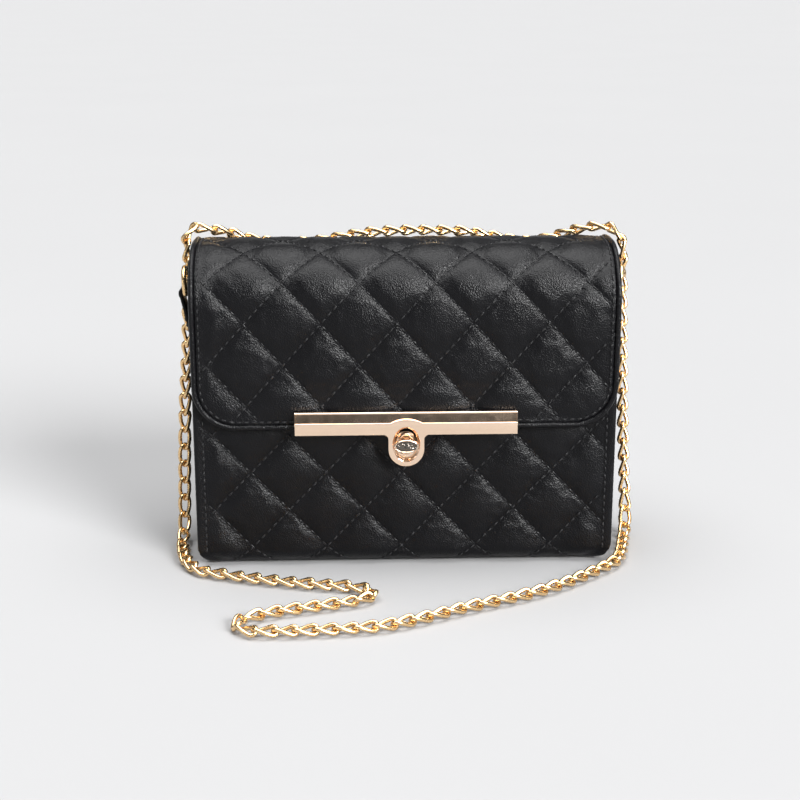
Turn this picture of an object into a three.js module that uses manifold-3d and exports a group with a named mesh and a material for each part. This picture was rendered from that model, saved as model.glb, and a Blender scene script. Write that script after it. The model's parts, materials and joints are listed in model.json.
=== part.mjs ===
// A quilted flap purse on a chain: a boxy padded body under a domed flap, closed by a bar plate
// with a turn lock. A ring tab stands on each end, and a loop of curb chain runs through both.
// Millimetres. -Y is the front, +X is on the right seen from the front, +Z is up.
// The origin lies on the table under the middle of the purse, lock included.
import * as THREE from 'three';
import { mergeVertices } from 'three/addons/utils/BufferGeometryUtils.js';
import Module from 'manifold-3d';

// ---- driving dimensions: body ----
const WIDTH = 193.6; // over the sewn side edges of the front and back panels
const BODY_FRONT = -34.6; // outer face of the front panel
const BODY_BACK = 35; // outer face of the back panel
const FLAP_FRONT = -39; // outer face of the closed flap
const CROWN_Y = -8; // where the domed top is highest
const CROWN_Z = 150;
const TOP_RADIUS = 120; // the shallow arch of the top
const FRONT_SHOULDER = 27; // the flap's bend from top to front
const REAR_SHOULDER = 30; // the back panel's bend from back to top
const HINGE_Y = 11; // the crease where the flap folds away from the back panel
const BOTTOM_RADIUS = 9; // turn of the front and back panels under the body
const MOUTH_Z = 118; // top edge of the front panel
const GAP = 0.3; // between pieces that touch

const SKIN = 1.8; // quilted outer leather
const WADDING = 1.5; // foam sheet under it
const BOARD = 1.9; // stiff board in the base
const LINING = 0.8; // fabric bag inside
const LINING_BACK = 29.9; // outer face of the lining's back, in front of the zip pocket
const WEB_OUTER = 92.7; // outer face of a gusset's web, inside the sewn edges
const WEB_INNER = 90.5;
const RIM = 1.6; // gusset edge turned outwards and sewn to the panels

// ---- flap and lock ----
const FLAP_WIDTH = 193; // over the edge roll
const FLAP_BOTTOM = 67.8; // height of the flap's lower edge
const FLAP_CORNER = 20; // radius of its two lower corners
const FLAP_SKIN = 1.4;
const FLAP_WADDING = 1.0;
const FLAP_WADDING_BOTTOM = 83; // the wadding stops above the lock bar
const FLAP_LINING = 0.6;
const ROLL = 1.15; // radius of the turned edge round the flap

const BAR_HALF = 50.3; // lock bar, half its length
const BAR_BOTTOM = 66.8;
const BAR_EDGE = 72.4; // where the upright face meets the sloping one
const BAR_TOP = 76.9;
const BAR_FRONT = -43.3;
const BAR_TOP_FRONT = -40.8; // front of the sloping face at the bar's top edge
const TONGUE_FRONT = -43.6; // plate that hangs from the bar's middle
const TONGUE_BACK = -41.4;
const TONGUE_HALF = 8.1;
const TONGUE_BOTTOM = 51.9;
const TONGUE_TOP = 73.9;
const TONGUE_FILLET = 2.6; // inner corners between tongue and bar
const LOCK_Z = 62.3; // the turn lock's axis
const EYE = [6.1, 8.2]; // opening in the tongue: half width, half height
const STUD_X = 40; // cast studs that hold the bar to the flap
const STUD_Z = 74.6;
const STUD_RADIUS = 1.2;

const KNOB = [5.6, 3.05]; // turn knob: half width, half height
const KNOB_BACK = -44.2;
const KNOB_FRONT = -47;
const POST_FOOT = [3.2, 3.7]; // lock post: half width and half height where it leaves the body
const POST_HEAD = [3.4, 5.2]; // and at its front face, inside the eye
const POST_BACK = -36.2;
const POST_FRONT = -42.8;
const FOOT_PLATE = [6.2, 6.6]; // plate under the post, low enough to stay clear of the flap
const FOOT_PLATE_Z = 59.7;
const SPINDLE = 1.6;
const SPINDLE_END = -27.6;
const BORE = 1.95;

// ---- ring tabs, rings and chain ----
const RING_WIRE = 1.15; // radius of the D-ring wire
const RING_HALF = 7.4; // half the ring's width along its straight bar
const RING_SIDE = 4; // straight side before the bow
const RING_Z = 124.2; // height of the ring's bar
const TAB_HALF = 5.25; // leather tab, half its width
const TAB_LEATHER = 2.6;
const TAB_EYE = 3.9; // fold round the ring's bar
const TAB_BORE = 1.65;
const TAB_ROOT_Z = 58;
const TAB_BEND_Z = 88;
const CHAIN_RADIUS = 2.9; // half the width over the curb links
// Where each ring's bar lies, and how far its bow leans outwards. The chain drags the left tab out.
const RINGS = [
  { name: 'left', side: -1, x: 100.6, lean: 4 },
  { name: 'right', side: 1, x: 99, lean: 16 },
];

// Chain routes, points in order from the left ring to the right one.
// The top strand climbs both ends of the body and lies along the back of the domed top.
const TOP_STRAND = [
  [-101.1, 12.3, 129.5], [-101.1, 12.6, 136], [-101.1, 13.6, 142], [-100.6, 15.6, 147.6],
  [-98, 17.4, 150.8], [-90.2, 20, 150], [-81.5, 24.4, 147.6], [-69.8, 28.2, 143.4],
  [-53.4, 29.4, 141.9], [-36.9, 28.2, 143.1], [-25.2, 25.6, 145.7], [-13.6, 23.4, 147.8],
  [0, 22.4, 148.7], [15.5, 22.4, 148.7], [31, 23.4, 147.8], [41.7, 25.8, 145.5],
  [52.4, 28.6, 142.8], [64, 29.3, 142], [73.7, 27.2, 144.3], [82.5, 23.2, 148],
  [90.2, 19.6, 150.3], [98.2, 17.4, 150.2], [102.8, 15.4, 147.4], [104.8, 13.4, 142.4],
  [105.2, 12.6, 136.5], [105.2, 12.3, 129.5],
];
// The long strand hangs from the rings, reaches the table beside the body, and lies in front
// of it with two tight turns.
const LONG_STRAND = [
  [-101.1, 12.3, 128.9], [-102.4, 12, 102], [-104.6, 11, 70], [-105.8, 9, 42],
  [-106.4, 6.6, 20], [-106.4, 1.4, 7.2], [-106.2, -8, 3.2], [-104.8, -20, 3.1],
  [-101.8, -32.4, 3.1], [-95.4, -43.2, 3.1], [-80.5, -50.4, 3.1], [-61, -57, 3.1],
  [-43, -61.8, 3.1], [-28, -65, 3.1], [-20, -68.2, 3.1], [-16.6, -73.4, 3.1],
  [-20.2, -79.6, 3.1], [-30, -83.4, 3.1], [-58, -91.6, 3.1], [-68, -96.6, 3.1],
  [-73.2, -103, 3.1], [-69.8, -109.8, 3.1], [-59, -111.6, 3.1], [-16, -108.4, 3.1],
  [-2, -103.6, 3.1], [24, -90, 3.1], [54, -75.6, 3.1], [72, -63.4, 3.1], [88, -49.6, 3.1],
  [98.4, -38.6, 3.1], [102.6, -28, 3.1], [106, -14, 3.1], [108.8, -2, 4], [110, 4.6, 9],
  [109.9, 8.8, 22], [108.4, 10.6, 50], [106.7, 11.6, 85], [105.4, 12.2, 115],
  [105.2, 12.3, 128.9],
];

// ---- inner zip pocket ----
const ZIP_Z = 106;
const ZIP_HALF = 64; // half the zip's length
const ZIP_START = -58; // the slider's place when the pocket is shut
const PULL_PIN_Z = 106.6;
const PULL_LENGTH = 21;

// ---- worked out from the above ----
const HALF = WIDTH / 2;
const FLAP_DEPTH = FLAP_SKIN + FLAP_WADDING + FLAP_LINING + 2 * GAP;
const BAR_BACK = FLAP_FRONT - GAP;
const PAD_DEPTH = SKIN + GAP; // depth of the wadding below the skin
const LINING_DEPTH = PAD_DEPTH + WADDING + GAP;
const PAD_HALF = WEB_INNER - GAP;
const LINING_BOTTOM = SKIN + BOARD + 2 * GAP;

const wasm = await Module();
wasm.setup();

// ---- materials ----
const finish = (color, roughness, metalness) => ({ color, roughness, metalness });
const BLACK_LEATHER = finish(0x17171a, 0.38, 0);
const LINING_CLOTH = finish(0x24242a, 0.85, 0);
const FOAM_SHEET = finish(0xd9d5c8, 0.95, 0);
const GREY_BOARD = finish(0x8d7f6b, 0.9, 0);
const LOCK_GOLD = finish(0xe6b98f, 0.18, 1);
const STEEL = finish(0xa8a8a6, 0.45, 1);
const CHAIN_GOLD = finish(0xe0bd7c, 0.22, 1);

// ---- helpers: placing, solids and cuts ----
const axis = (x, y, z) => new THREE.Vector3(x, y, z);
const ALONG_X = new THREE.Matrix4().makeBasis(axis(0, 1, 0), axis(0, 0, 1), axis(1, 0, 0));
const FORWARDS = new THREE.Matrix4().makeBasis(axis(1, 0, 0), axis(0, 0, 1), axis(0, -1, 0));

const shapeOf = (points) => new THREE.Shape(points.map(([u, v]) => new THREE.Vector2(u, v)));

// A side profile in Y and Z, pushed along X from x0 to x1.
function alongX(points, x0, x1) {
  const options = { depth: x1 - x0, bevelEnabled: false };
  const geometry = new THREE.ExtrudeGeometry(shapeOf(points), options);
  return geometry.translate(0, 0, x0).applyMatrix4(ALONG_X);
}

// A front outline in X and Z, pushed forwards from yBack to yFront.
function forwards(shape, yBack, yFront, curveSegments = 10) {
  const options = { depth: yBack - yFront, bevelEnabled: false, curveSegments };
  const geometry = new THREE.ExtrudeGeometry(shape, options);
  return geometry.translate(0, 0, -yBack).applyMatrix4(FORWARDS);
}

function box(x0, x1, y0, y1, z0, z1) {
  const geometry = new THREE.BoxGeometry(x1 - x0, y1 - y0, z1 - z0);
  return geometry.translate((x0 + x1) / 2, (y0 + y1) / 2, (z0 + z1) / 2);
}

// A round pin along Y.
function pin(radius, x, z, yFront, yBack, sides = 20) {
  const geometry = new THREE.CylinderGeometry(radius, radius, yBack - yFront, sides);
  return geometry.translate(x, (yFront + yBack) / 2, z);
}

function oval([halfWidth, halfHeight], z) {
  const shape = new THREE.Shape();
  return shape.absellipse(0, z, halfWidth, halfHeight, 0, 2 * Math.PI, false, 0);
}

// A rectangle from the middle of its lower edge, with its two lower corners rounded.
function roundedBelow(halfWidth, bottom, top, radius) {
  const shape = new THREE.Shape();
  shape.moveTo(halfWidth, top);
  shape.lineTo(-halfWidth, top);
  shape.absarc(-halfWidth + radius, bottom + radius, radius, Math.PI, 1.5 * Math.PI, false);
  shape.absarc(halfWidth - radius, bottom + radius, radius, 1.5 * Math.PI, 2 * Math.PI, false);
  return shape;
}

function solid(geometry) {
  const bare = geometry.clone();
  bare.deleteAttribute('normal');
  bare.deleteAttribute('uv');
  const merged = mergeVertices(bare, 1e-4);
  return new wasm.Manifold(new wasm.Mesh({
    numProp: 3,
    vertProperties: new Float32Array(merged.attributes.position.array),
    triVerts: new Uint32Array(merged.index.array),
  }));
}

function geometryOf(manifold) {
  const mesh = manifold.getMesh();
  const geometry = new THREE.BufferGeometry();
  geometry.setAttribute('position', new THREE.BufferAttribute(mesh.vertProperties, 3));
  geometry.setIndex(new THREE.BufferAttribute(mesh.triVerts, 1));
  geometry.computeVertexNormals();
  return geometry;
}

const combine = (method) => (first, ...others) => geometryOf(
  others.reduce((body, other) => body[method](solid(other)), solid(first)));
const cut = combine('subtract');
const join = combine('add');
const common = combine('intersect');

const purse = new THREE.Group();
function add(name, geometry, look) {
  const mesh = new THREE.Mesh(geometry, new THREE.MeshStandardMaterial(look));
  mesh.name = name;
  purse.add(mesh);
}

// ---- skin lines: side profiles of the outer skin, as points with outward normals ----
function arc(centre, radius, from, to, count) {
  const points = [];
  for (let i = 0; i <= count; i += 1) {
    const turn = from + ((to - from) * i) / count;
    const [ny, nz] = [Math.cos(turn), Math.sin(turn)];
    points.push({ y: centre.y + radius * ny, z: centre.z + radius * nz, ny, nz });
  }
  return points;
}

// The two shoulders run smoothly into the shallow top arc.
const topCentre = { y: CROWN_Y, z: CROWN_Z - TOP_RADIUS };
function shoulderCentre(y, radius) {
  return { y, z: topCentre.z + Math.sqrt((TOP_RADIUS - radius) ** 2 - (y - CROWN_Y) ** 2) };
}
const frontCentre = shoulderCentre(FLAP_FRONT + FRONT_SHOULDER, FRONT_SHOULDER);
const rearCentre = shoulderCentre(BODY_BACK - REAR_SHOULDER, REAR_SHOULDER);
const meetingTurn = (centre) => Math.atan2(centre.z - topCentre.z, centre.y - topCentre.y);
const frontMeet = meetingTurn(frontCentre);
const rearMeet = meetingTurn(rearCentre);
const hingeTurn = Math.acos((HINGE_Y - rearCentre.y) / REAR_SHOULDER);
const halfCrease = GAP / REAR_SHOULDER;

const flapLine = [
  { y: FLAP_FRONT, z: FLAP_BOTTOM, ny: -1, nz: 0 },
  ...arc(frontCentre, FRONT_SHOULDER, Math.PI, frontMeet, 10),
  ...arc(topCentre, TOP_RADIUS, frontMeet, rearMeet, 6).slice(1),
  ...arc(rearCentre, REAR_SHOULDER, rearMeet, hingeTurn + halfCrease, 1).slice(1),
];
const backCorner = { y: BODY_BACK - BOTTOM_RADIUS, z: BOTTOM_RADIUS };
const backLine = [
  ...arc(rearCentre, REAR_SHOULDER, hingeTurn - halfCrease, 0, 10),
  ...arc(backCorner, BOTTOM_RADIUS, 0, -Math.PI / 2, 6),
];
const frontCorner = { y: BODY_FRONT + BOTTOM_RADIUS, z: BOTTOM_RADIUS };
const frontLine = [
  { y: BODY_FRONT, z: MOUTH_Z, ny: -1, nz: 0 },
  ...arc(frontCorner, BOTTOM_RADIUS, Math.PI, 1.5 * Math.PI, 6),
];

const inset = (line, depth) => line.map((p) => [p.y - depth * p.ny, p.z - depth * p.nz]);
// The strip of wall between two depths below a skin line.
const layer = (line, outer, inner) => [...inset(line, outer), ...inset(line, inner).reverse()];

// The side outline of what lies inside the walls: `depth` below the panels, `cover` below the flap.
function innerOutline(depth, cover) {
  const front = inset(frontLine, depth).slice(1).reverse();
  const y = BODY_FRONT + depth;
  const reach = FRONT_SHOULDER - cover;
  const ear = [y, frontCentre.z + Math.sqrt(reach ** 2 - (y - frontCentre.y) ** 2)];
  const roof = inset(flapLine, cover).filter((point) => point[0] > y);
  return [...front, ear, ...roof, ...inset(backLine, depth)];
}

// ---- body ----
const SEAT_FRONT = BODY_FRONT + BOTTOM_RADIUS + GAP;
const SEAT_BACK = BODY_BACK - BOTTOM_RADIUS - GAP;
const spindleHole = pin(BORE + GAP, 0, LOCK_Z, BODY_FRONT - 2, SPINDLE_END);

function addPanels() {
  const front = alongX(layer(frontLine, 0, SKIN), -HALF, HALF);
  add('front_panel', cut(front, spindleHole), BLACK_LEATHER);
  add('back_panel', alongX(layer(backLine, 0, SKIN), -HALF, HALF), BLACK_LEATHER);
  add('base_panel', box(-HALF, HALF, SEAT_FRONT, SEAT_BACK, 0, SKIN), BLACK_LEATHER);
}

function addStiffening() {
  const boardBottom = SKIN + GAP;
  const boardTop = boardBottom + BOARD;
  const board = box(-PAD_HALF, PAD_HALF, SEAT_FRONT, SEAT_BACK, boardBottom, boardTop);
  add('base_board', board, GREY_BOARD);
  const pad = (line) => alongX(layer(line, PAD_DEPTH, PAD_DEPTH + WADDING), -PAD_HALF, PAD_HALF);
  add('front_wadding', cut(pad(frontLine), spindleHole), FOAM_SHEET);
  add('back_wadding', pad(backLine), FOAM_SHEET);
}

// A stiff end wall whose edge is turned outwards all round, as a shallow tray on its side.
function gusset(side) {
  const cover = FLAP_DEPTH + 2 * GAP;
  const outward = (from, to) => (side > 0 ? [from, to] : [-to, -from]);
  const block = alongX(innerOutline(PAD_DEPTH, cover), ...outward(WEB_INNER, HALF));
  const inside = innerOutline(PAD_DEPTH + RIM, cover + RIM);
  return cut(block, alongX(inside, ...outward(WEB_OUTER, HALF + 1)));
}

// The lining is a bag with high ends: its mouth lies between them, in front of the crease.
function lining() {
  const half = PAD_HALF - LINING;
  const cover = FLAP_DEPTH + 3 * GAP;
  const far = 2 * CROWN_Z;
  const outside = common(
    alongX(innerOutline(LINING_DEPTH, cover), -PAD_HALF, PAD_HALF),
    box(-far, far, -far, LINING_BACK, LINING_BOTTOM, far));
  const inside = common(
    alongX(innerOutline(LINING_DEPTH + LINING, cover + LINING), -half, half),
    box(-far, far, -far, LINING_BACK - LINING, LINING_BOTTOM + LINING, far));
  const mouth = box(-half, half, -far, HINGE_Y, MOUTH_Z - GAP, far);
  const slit = box(-ZIP_HALF, ZIP_HALF, LINING_BACK - 2 * LINING, far, ZIP_Z - 1.5, ZIP_Z + 1.5);
  return cut(outside, inside, mouth, slit, spindleHole);
}

// ---- inner zip pocket on the back wall ----
const ZIP_FACE = LINING_BACK - LINING - GAP;
const TAPE = 0.5;
const TEETH = 0.9;
const TEETH_FACE = ZIP_FACE - TAPE - GAP;
const SLIDER_BACK = TEETH_FACE - TEETH - GAP;
const SLIDER_FRONT = SLIDER_BACK - 1.6;

function addZipPocket() {
  const pocketBack = BODY_BACK - PAD_DEPTH - WADDING - GAP;
  const pocket = box(-70, 70, LINING_BACK + GAP, pocketBack, 30, ZIP_Z + 6);
  add('zip_pocket_bag', pocket, LINING_CLOTH);
  const tape = box(-ZIP_HALF - 5, ZIP_HALF + 5, ZIP_FACE - TAPE, ZIP_FACE, ZIP_Z - 8, ZIP_Z + 8);
  add('zip_tape', tape, LINING_CLOTH);
  const teeth = box(-ZIP_HALF, ZIP_HALF, TEETH_FACE - TEETH, TEETH_FACE, ZIP_Z - 2, ZIP_Z + 2);
  add('zip_teeth', teeth, STEEL);

  // The slider is a plate with two ears that hold the pull's pin.
  const earFront = SLIDER_FRONT - 2.4;
  const earBack = SLIDER_FRONT + 0.2;
  const ear = (x) => box(x, x + 1, earFront, earBack, PULL_PIN_Z - 1.3, PULL_PIN_Z + 1.3);
  const plate = box(ZIP_START - 5, ZIP_START + 5, SLIDER_FRONT, SLIDER_BACK, ZIP_Z - 3.5, ZIP_Z + 3.5);
  add('zip_slider', join(plate, ear(ZIP_START - 3.2), ear(ZIP_START + 2.2)), STEEL);
  const pinY = SLIDER_FRONT - 1.2;
  const pullBottom = PULL_PIN_Z - PULL_LENGTH;
  const pullTop = PULL_PIN_Z + 0.9;
  const pull = box(ZIP_START - 1.8, ZIP_START + 1.8, pinY - 0.6, pinY + 0.6, pullBottom, pullTop);
  add('zip_pull', pull, STEEL);
}

// ---- turn lock on the front panel ----
// The post grows taller towards the front: it has to pass under the flap's lower edge.
function postBody() {
  const length = POST_BACK - POST_FRONT;
  const post = new THREE.CylinderGeometry(1, 1, length, 28);
  const position = post.attributes.position;
  for (let i = 0; i < position.count; i += 1) {
    const [halfWidth, halfHeight] = position.getY(i) > 0 ? POST_FOOT : POST_HEAD;
    position.setX(i, position.getX(i) * halfWidth);
    position.setZ(i, position.getZ(i) * halfHeight);
  }
  return post.translate(0, POST_BACK - length / 2, LOCK_Z);
}

function addTurnLock() {
  const bore = pin(BORE, 0, LOCK_Z, KNOB_FRONT, SPINDLE_END);
  const footBack = BODY_FRONT - GAP;
  const foot = forwards(oval(FOOT_PLATE, FOOT_PLATE_Z), footBack, POST_BACK + GAP);
  add('lock_foot_plate', cut(foot, bore), LOCK_GOLD);

  add('lock_post', cut(postBody(), bore), LOCK_GOLD);

  const plateFront = BODY_FRONT + LINING_DEPTH + LINING + GAP;
  const backPlate = box(-10, 10, plateFront, plateFront + LINING, LOCK_Z - 13, LOCK_Z + 13);
  add('lock_back_plate', cut(backPlate, bore), STEEL);

  // One turning piece: oval grip, spindle, and the end peened over behind the back plate.
  const grip = forwards(oval(KNOB, LOCK_Z), KNOB_BACK, KNOB_FRONT, 14);
  const spindle = pin(SPINDLE, 0, LOCK_Z, KNOB_BACK - 1, SPINDLE_END);
  const peened = pin(2 * SPINDLE, 0, LOCK_Z, plateFront + LINING + GAP, SPINDLE_END + 0.2);
  add('turn_knob', join(grip, spindle, peened), LOCK_GOLD);
}

// ---- flap ----
const studHole = (side) => pin(STUD_RADIUS + GAP, side * STUD_X, STUD_Z, BAR_BACK, -35);
// A layer of the flap, cut to the flap's front outline less a margin.
function flapLayer(outer, inner, margin, bottom = FLAP_BOTTOM + margin) {
  const half = FLAP_WIDTH / 2 - margin;
  const strip = alongX(layer(flapLine, outer, inner), -half, half);
  const corner = FLAP_CORNER - margin;
  const outline = roundedBelow(half, bottom, CROWN_Z + 5, corner);
  return common(strip, forwards(outline, BODY_BACK, 2 * FLAP_FRONT));
}

// The turned edge runs down one side, round both corners and up the other side.
function edgeRoll() {
  const depth = FLAP_DEPTH / 2;
  const half = FLAP_WIDTH / 2 - ROLL;
  const side = inset(flapLine, depth).slice(1).reverse();
  const y = FLAP_FRONT + depth;
  const low = FLAP_BOTTOM + ROLL;
  const radius = FLAP_CORNER - ROLL;
  const corner = [0, 1, 2, 3, 4, 5].map((i) => {
    const turn = (Math.PI * i) / 10;
    const across = half - radius + radius * Math.cos(turn);
    return [across, low + radius - radius * Math.sin(turn)];
  });
  const right = [
    ...side.map(([sy, sz]) => axis(half, sy, sz)),
    axis(half, y, (frontCentre.z + FLAP_CORNER + FLAP_BOTTOM) / 2),
    ...corner.map(([x, z]) => axis(x, y, z)),
    axis(half / 2, y, low),
  ];
  const left = right.map((p) => axis(-p.x, p.y, p.z)).reverse();
  const path = new THREE.CatmullRomCurve3([...right, axis(0, y, low), ...left], false, 'centripetal');
  return tube(path, ROLL, 84, 6);
}

function tube(path, radius, steps, sides) {
  const ring = [];
  for (let i = 0; i < sides; i += 1) {
    const turn = (2 * Math.PI * (i + 0.5)) / sides;
    ring.push([radius * Math.cos(turn), radius * Math.sin(turn)]);
  }
  return new THREE.ExtrudeGeometry(shapeOf(ring), { steps, extrudePath: path, bevelEnabled: false });
}

function addFlap() {
  const margin = 2 * ROLL + GAP;
  const skin = flapLayer(0, FLAP_SKIN, margin);
  add('flap_panel', cut(skin, studHole(-1), studHole(1)), BLACK_LEATHER);
  const padDepth = FLAP_SKIN + GAP;
  const padEnd = padDepth + FLAP_WADDING;
  add('flap_wadding', flapLayer(padDepth, padEnd, margin + 2, FLAP_WADDING_BOTTOM), FOAM_SHEET);
  add('flap_lining', flapLayer(padEnd + GAP, FLAP_DEPTH, margin), LINING_CLOTH);
  add('flap_edge_roll', edgeRoll(), BLACK_LEATHER);
}

// ---- lock bar on the flap's lower edge ----
function tongueShape() {
  const shape = new THREE.Shape();
  const half = TONGUE_HALF;
  const fillet = TONGUE_FILLET;
  shape.moveTo(half, TONGUE_TOP - half);
  shape.absarc(0, TONGUE_TOP - half, half, 0, Math.PI, false);
  shape.lineTo(-half, BAR_BOTTOM + 1);
  shape.lineTo(-half - fillet, BAR_BOTTOM + 1);
  shape.absarc(-half - fillet, BAR_BOTTOM - fillet, fillet, Math.PI / 2, 0, true);
  shape.absarc(0, TONGUE_BOTTOM + half, half, Math.PI, 2 * Math.PI, false);
  shape.absarc(half + fillet, BAR_BOTTOM - fillet, fillet, Math.PI, Math.PI / 2, true);
  shape.lineTo(half + fillet, BAR_BOTTOM + 1);
  shape.lineTo(half, BAR_BOTTOM + 1);
  return shape;
}

function addLockBar() {
  const profile = [
    [BAR_BACK, BAR_BOTTOM], [BAR_FRONT, BAR_BOTTOM], [BAR_FRONT, BAR_EDGE],
    [BAR_TOP_FRONT, BAR_TOP], [BAR_BACK, BAR_TOP],
  ];
  const plateBack = FLAP_FRONT + FLAP_SKIN + GAP;
  const plateEnd = plateBack + LINING;
  const tongue = forwards(tongueShape(), TONGUE_BACK, TONGUE_FRONT);
  const stud = (side) => pin(STUD_RADIUS, side * STUD_X, STUD_Z, BAR_BACK - 1, plateEnd);
  const bar = join(alongX(profile, -BAR_HALF, BAR_HALF), tongue, stud(-1), stud(1));
  add('lock_bar', cut(bar, forwards(oval(EYE, LOCK_Z), BODY_FRONT, 2 * BAR_FRONT)), LOCK_GOLD);

  const [low, high] = [FLAP_BOTTOM + 2 * ROLL + 2 * GAP, FLAP_WADDING_BOTTOM - 2 * GAP];
  const plate = box(-BAR_HALF + 5, BAR_HALF - 5, plateBack, plateEnd, low, high);
  add('bar_back_plate', cut(plate, studHole(-1), studHole(1)), STEEL);
}

// ---- ring tabs and D-rings ----
// A strip of even thickness along a line of points in X and Z.
function strip(points, thickness) {
  const offset = (sign) => points.map(([x, z], i) => {
    const [ax, az] = points[Math.max(i - 1, 0)];
    const [bx, bz] = points[Math.min(i + 1, points.length - 1)];
    const length = Math.hypot(bx - ax, bz - az);
    const half = (sign * thickness) / 2;
    return [x + (half * (az - bz)) / length, z + (half * (bx - ax)) / length];
  });
  return [...offset(1), ...offset(-1).reverse()];
}

function addTab({ name, side, x }) {
  const rootX = WEB_OUTER + GAP + TAB_LEATHER / 2;
  const spine = [
    [rootX, TAB_ROOT_Z], [rootX, TAB_BEND_Z], [rootX + 0.6, TAB_BEND_Z + 6],
    [x - 0.6, RING_Z - 7], [x, RING_Z - 2],
  ].map(([px, pz]) => [side * px, pz]);
  const strap = forwards(shapeOf(strip(spine, TAB_LEATHER)), TAB_HALF, -TAB_HALF);
  const fold = pin(TAB_EYE, side * x, RING_Z, -TAB_HALF, TAB_HALF, 18);
  const bore = pin(TAB_BORE, side * x, RING_Z, -10, 10, 14);
  add(`${name}_ring_tab`, cut(join(strap, fold), bore), BLACK_LEATHER);
}

// The D's straight bar lies along Y through the tab's fold, and its bow leans outwards.
function addRing({ name, side, x, lean }) {
  const outline = new THREE.Shape();
  const corner = 1.8;
  outline.moveTo(-RING_HALF + corner, 0);
  outline.lineTo(RING_HALF - corner, 0);
  outline.absarc(RING_HALF - corner, corner, corner, -Math.PI / 2, 0, false);
  outline.absarc(0, RING_SIDE, RING_HALF, 0, Math.PI, false);
  outline.absarc(-RING_HALF + corner, corner, corner, Math.PI, 1.5 * Math.PI, false);
  const tilt = THREE.MathUtils.degToRad(lean);
  const points = outline.getSpacedPoints(36).slice(0, -1)
    .map((p) => axis(side * (x + p.y * Math.sin(tilt)), p.x, RING_Z + p.y * Math.cos(tilt)));
  const path = new THREE.CatmullRomCurve3(points, true, 'centripetal');
  add(`${name}_d_ring`, new THREE.TubeGeometry(path, 40, RING_WIRE, 8, true), CHAIN_GOLD);
}

// ---- chain ----
function addStrand(name, route, steps) {
  const path = new THREE.CatmullRomCurve3(route.map((p) => axis(...p)), false, 'centripetal');
  add(name, tube(path, CHAIN_RADIUS, steps, 8), CHAIN_GOLD);
}

addPanels();
addStiffening();
add('left_gusset', gusset(-1), BLACK_LEATHER);
add('right_gusset', gusset(1), BLACK_LEATHER);
add('lining', lining(), LINING_CLOTH);
addZipPocket();
addTurnLock();
addFlap();
addLockBar();
RINGS.forEach(addTab);
RINGS.forEach(addRing);
addStrand('chain_top_strand', TOP_STRAND, 26);
addStrand('chain_long_strand', LONG_STRAND, 54);

// The lock stands out in front, so the body sits a little behind the origin.
purse.position.y = -(BODY_BACK + KNOB_FRONT) / 2;

export default purse;
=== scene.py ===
"""The looks of a quilted flap purse on a curb chain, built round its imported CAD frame.

Lengths are in millimetres, in the frame's axes, and become metres in make(); the camera, the
lights and the floor are in metres. -Y is the front, +X is on the right seen from the front, and
the floor is Z = 0.
"""

import json
import math

import bmesh
import bpy
import numpy as np
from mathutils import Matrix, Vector, noise
from mathutils.bvhtree import BVHTree


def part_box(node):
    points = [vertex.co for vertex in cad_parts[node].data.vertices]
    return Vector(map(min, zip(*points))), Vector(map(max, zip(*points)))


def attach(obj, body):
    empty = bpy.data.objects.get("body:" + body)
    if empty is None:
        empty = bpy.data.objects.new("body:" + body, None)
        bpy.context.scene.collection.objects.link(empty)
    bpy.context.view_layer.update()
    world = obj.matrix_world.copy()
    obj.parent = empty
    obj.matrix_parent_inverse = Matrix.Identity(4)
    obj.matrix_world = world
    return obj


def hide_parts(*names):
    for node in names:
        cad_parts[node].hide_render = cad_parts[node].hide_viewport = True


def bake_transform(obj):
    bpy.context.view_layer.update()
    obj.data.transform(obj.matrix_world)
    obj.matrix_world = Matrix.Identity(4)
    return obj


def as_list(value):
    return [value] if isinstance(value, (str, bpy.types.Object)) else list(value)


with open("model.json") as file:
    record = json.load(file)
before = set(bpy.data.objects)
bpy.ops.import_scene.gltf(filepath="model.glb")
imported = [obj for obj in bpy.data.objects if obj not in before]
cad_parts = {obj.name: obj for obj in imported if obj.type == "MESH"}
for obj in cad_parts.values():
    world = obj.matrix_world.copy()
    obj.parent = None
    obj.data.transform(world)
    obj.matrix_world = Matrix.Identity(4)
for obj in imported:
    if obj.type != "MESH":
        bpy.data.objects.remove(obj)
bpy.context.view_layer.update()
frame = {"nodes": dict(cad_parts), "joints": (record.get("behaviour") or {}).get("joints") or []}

MM = 0.001
BODY = "purse_body"
FLAP = "flap"
RNG = np.random.default_rng(7)


def cad_box(node):
    """A CAD node's lowest and highest corners."""
    low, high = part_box(node)
    return np.array(low) / MM, np.array(high) / MM


def joint_place(name):
    joint = next(j for j in frame["joints"] if j["name"] == name)
    return np.array(joint["pos_m"]) / MM


# ---- driving places, from the frame ----
FLAP_LOW, FLAP_HIGH = cad_box("flap_panel")
ROLL_LOW, ROLL_HIGH = cad_box("flap_edge_roll")
BACK_HIGH = cad_box("back_panel")[1]
FRONT_LOW, FRONT_HIGH = cad_box("front_panel")
BAR_LOW, BAR_HIGH = cad_box("lock_bar")
HINGE = joint_place("flap_hinge")
OWN_Y = HINGE[1] - 11.0  # how far the body sits behind the origin


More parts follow.
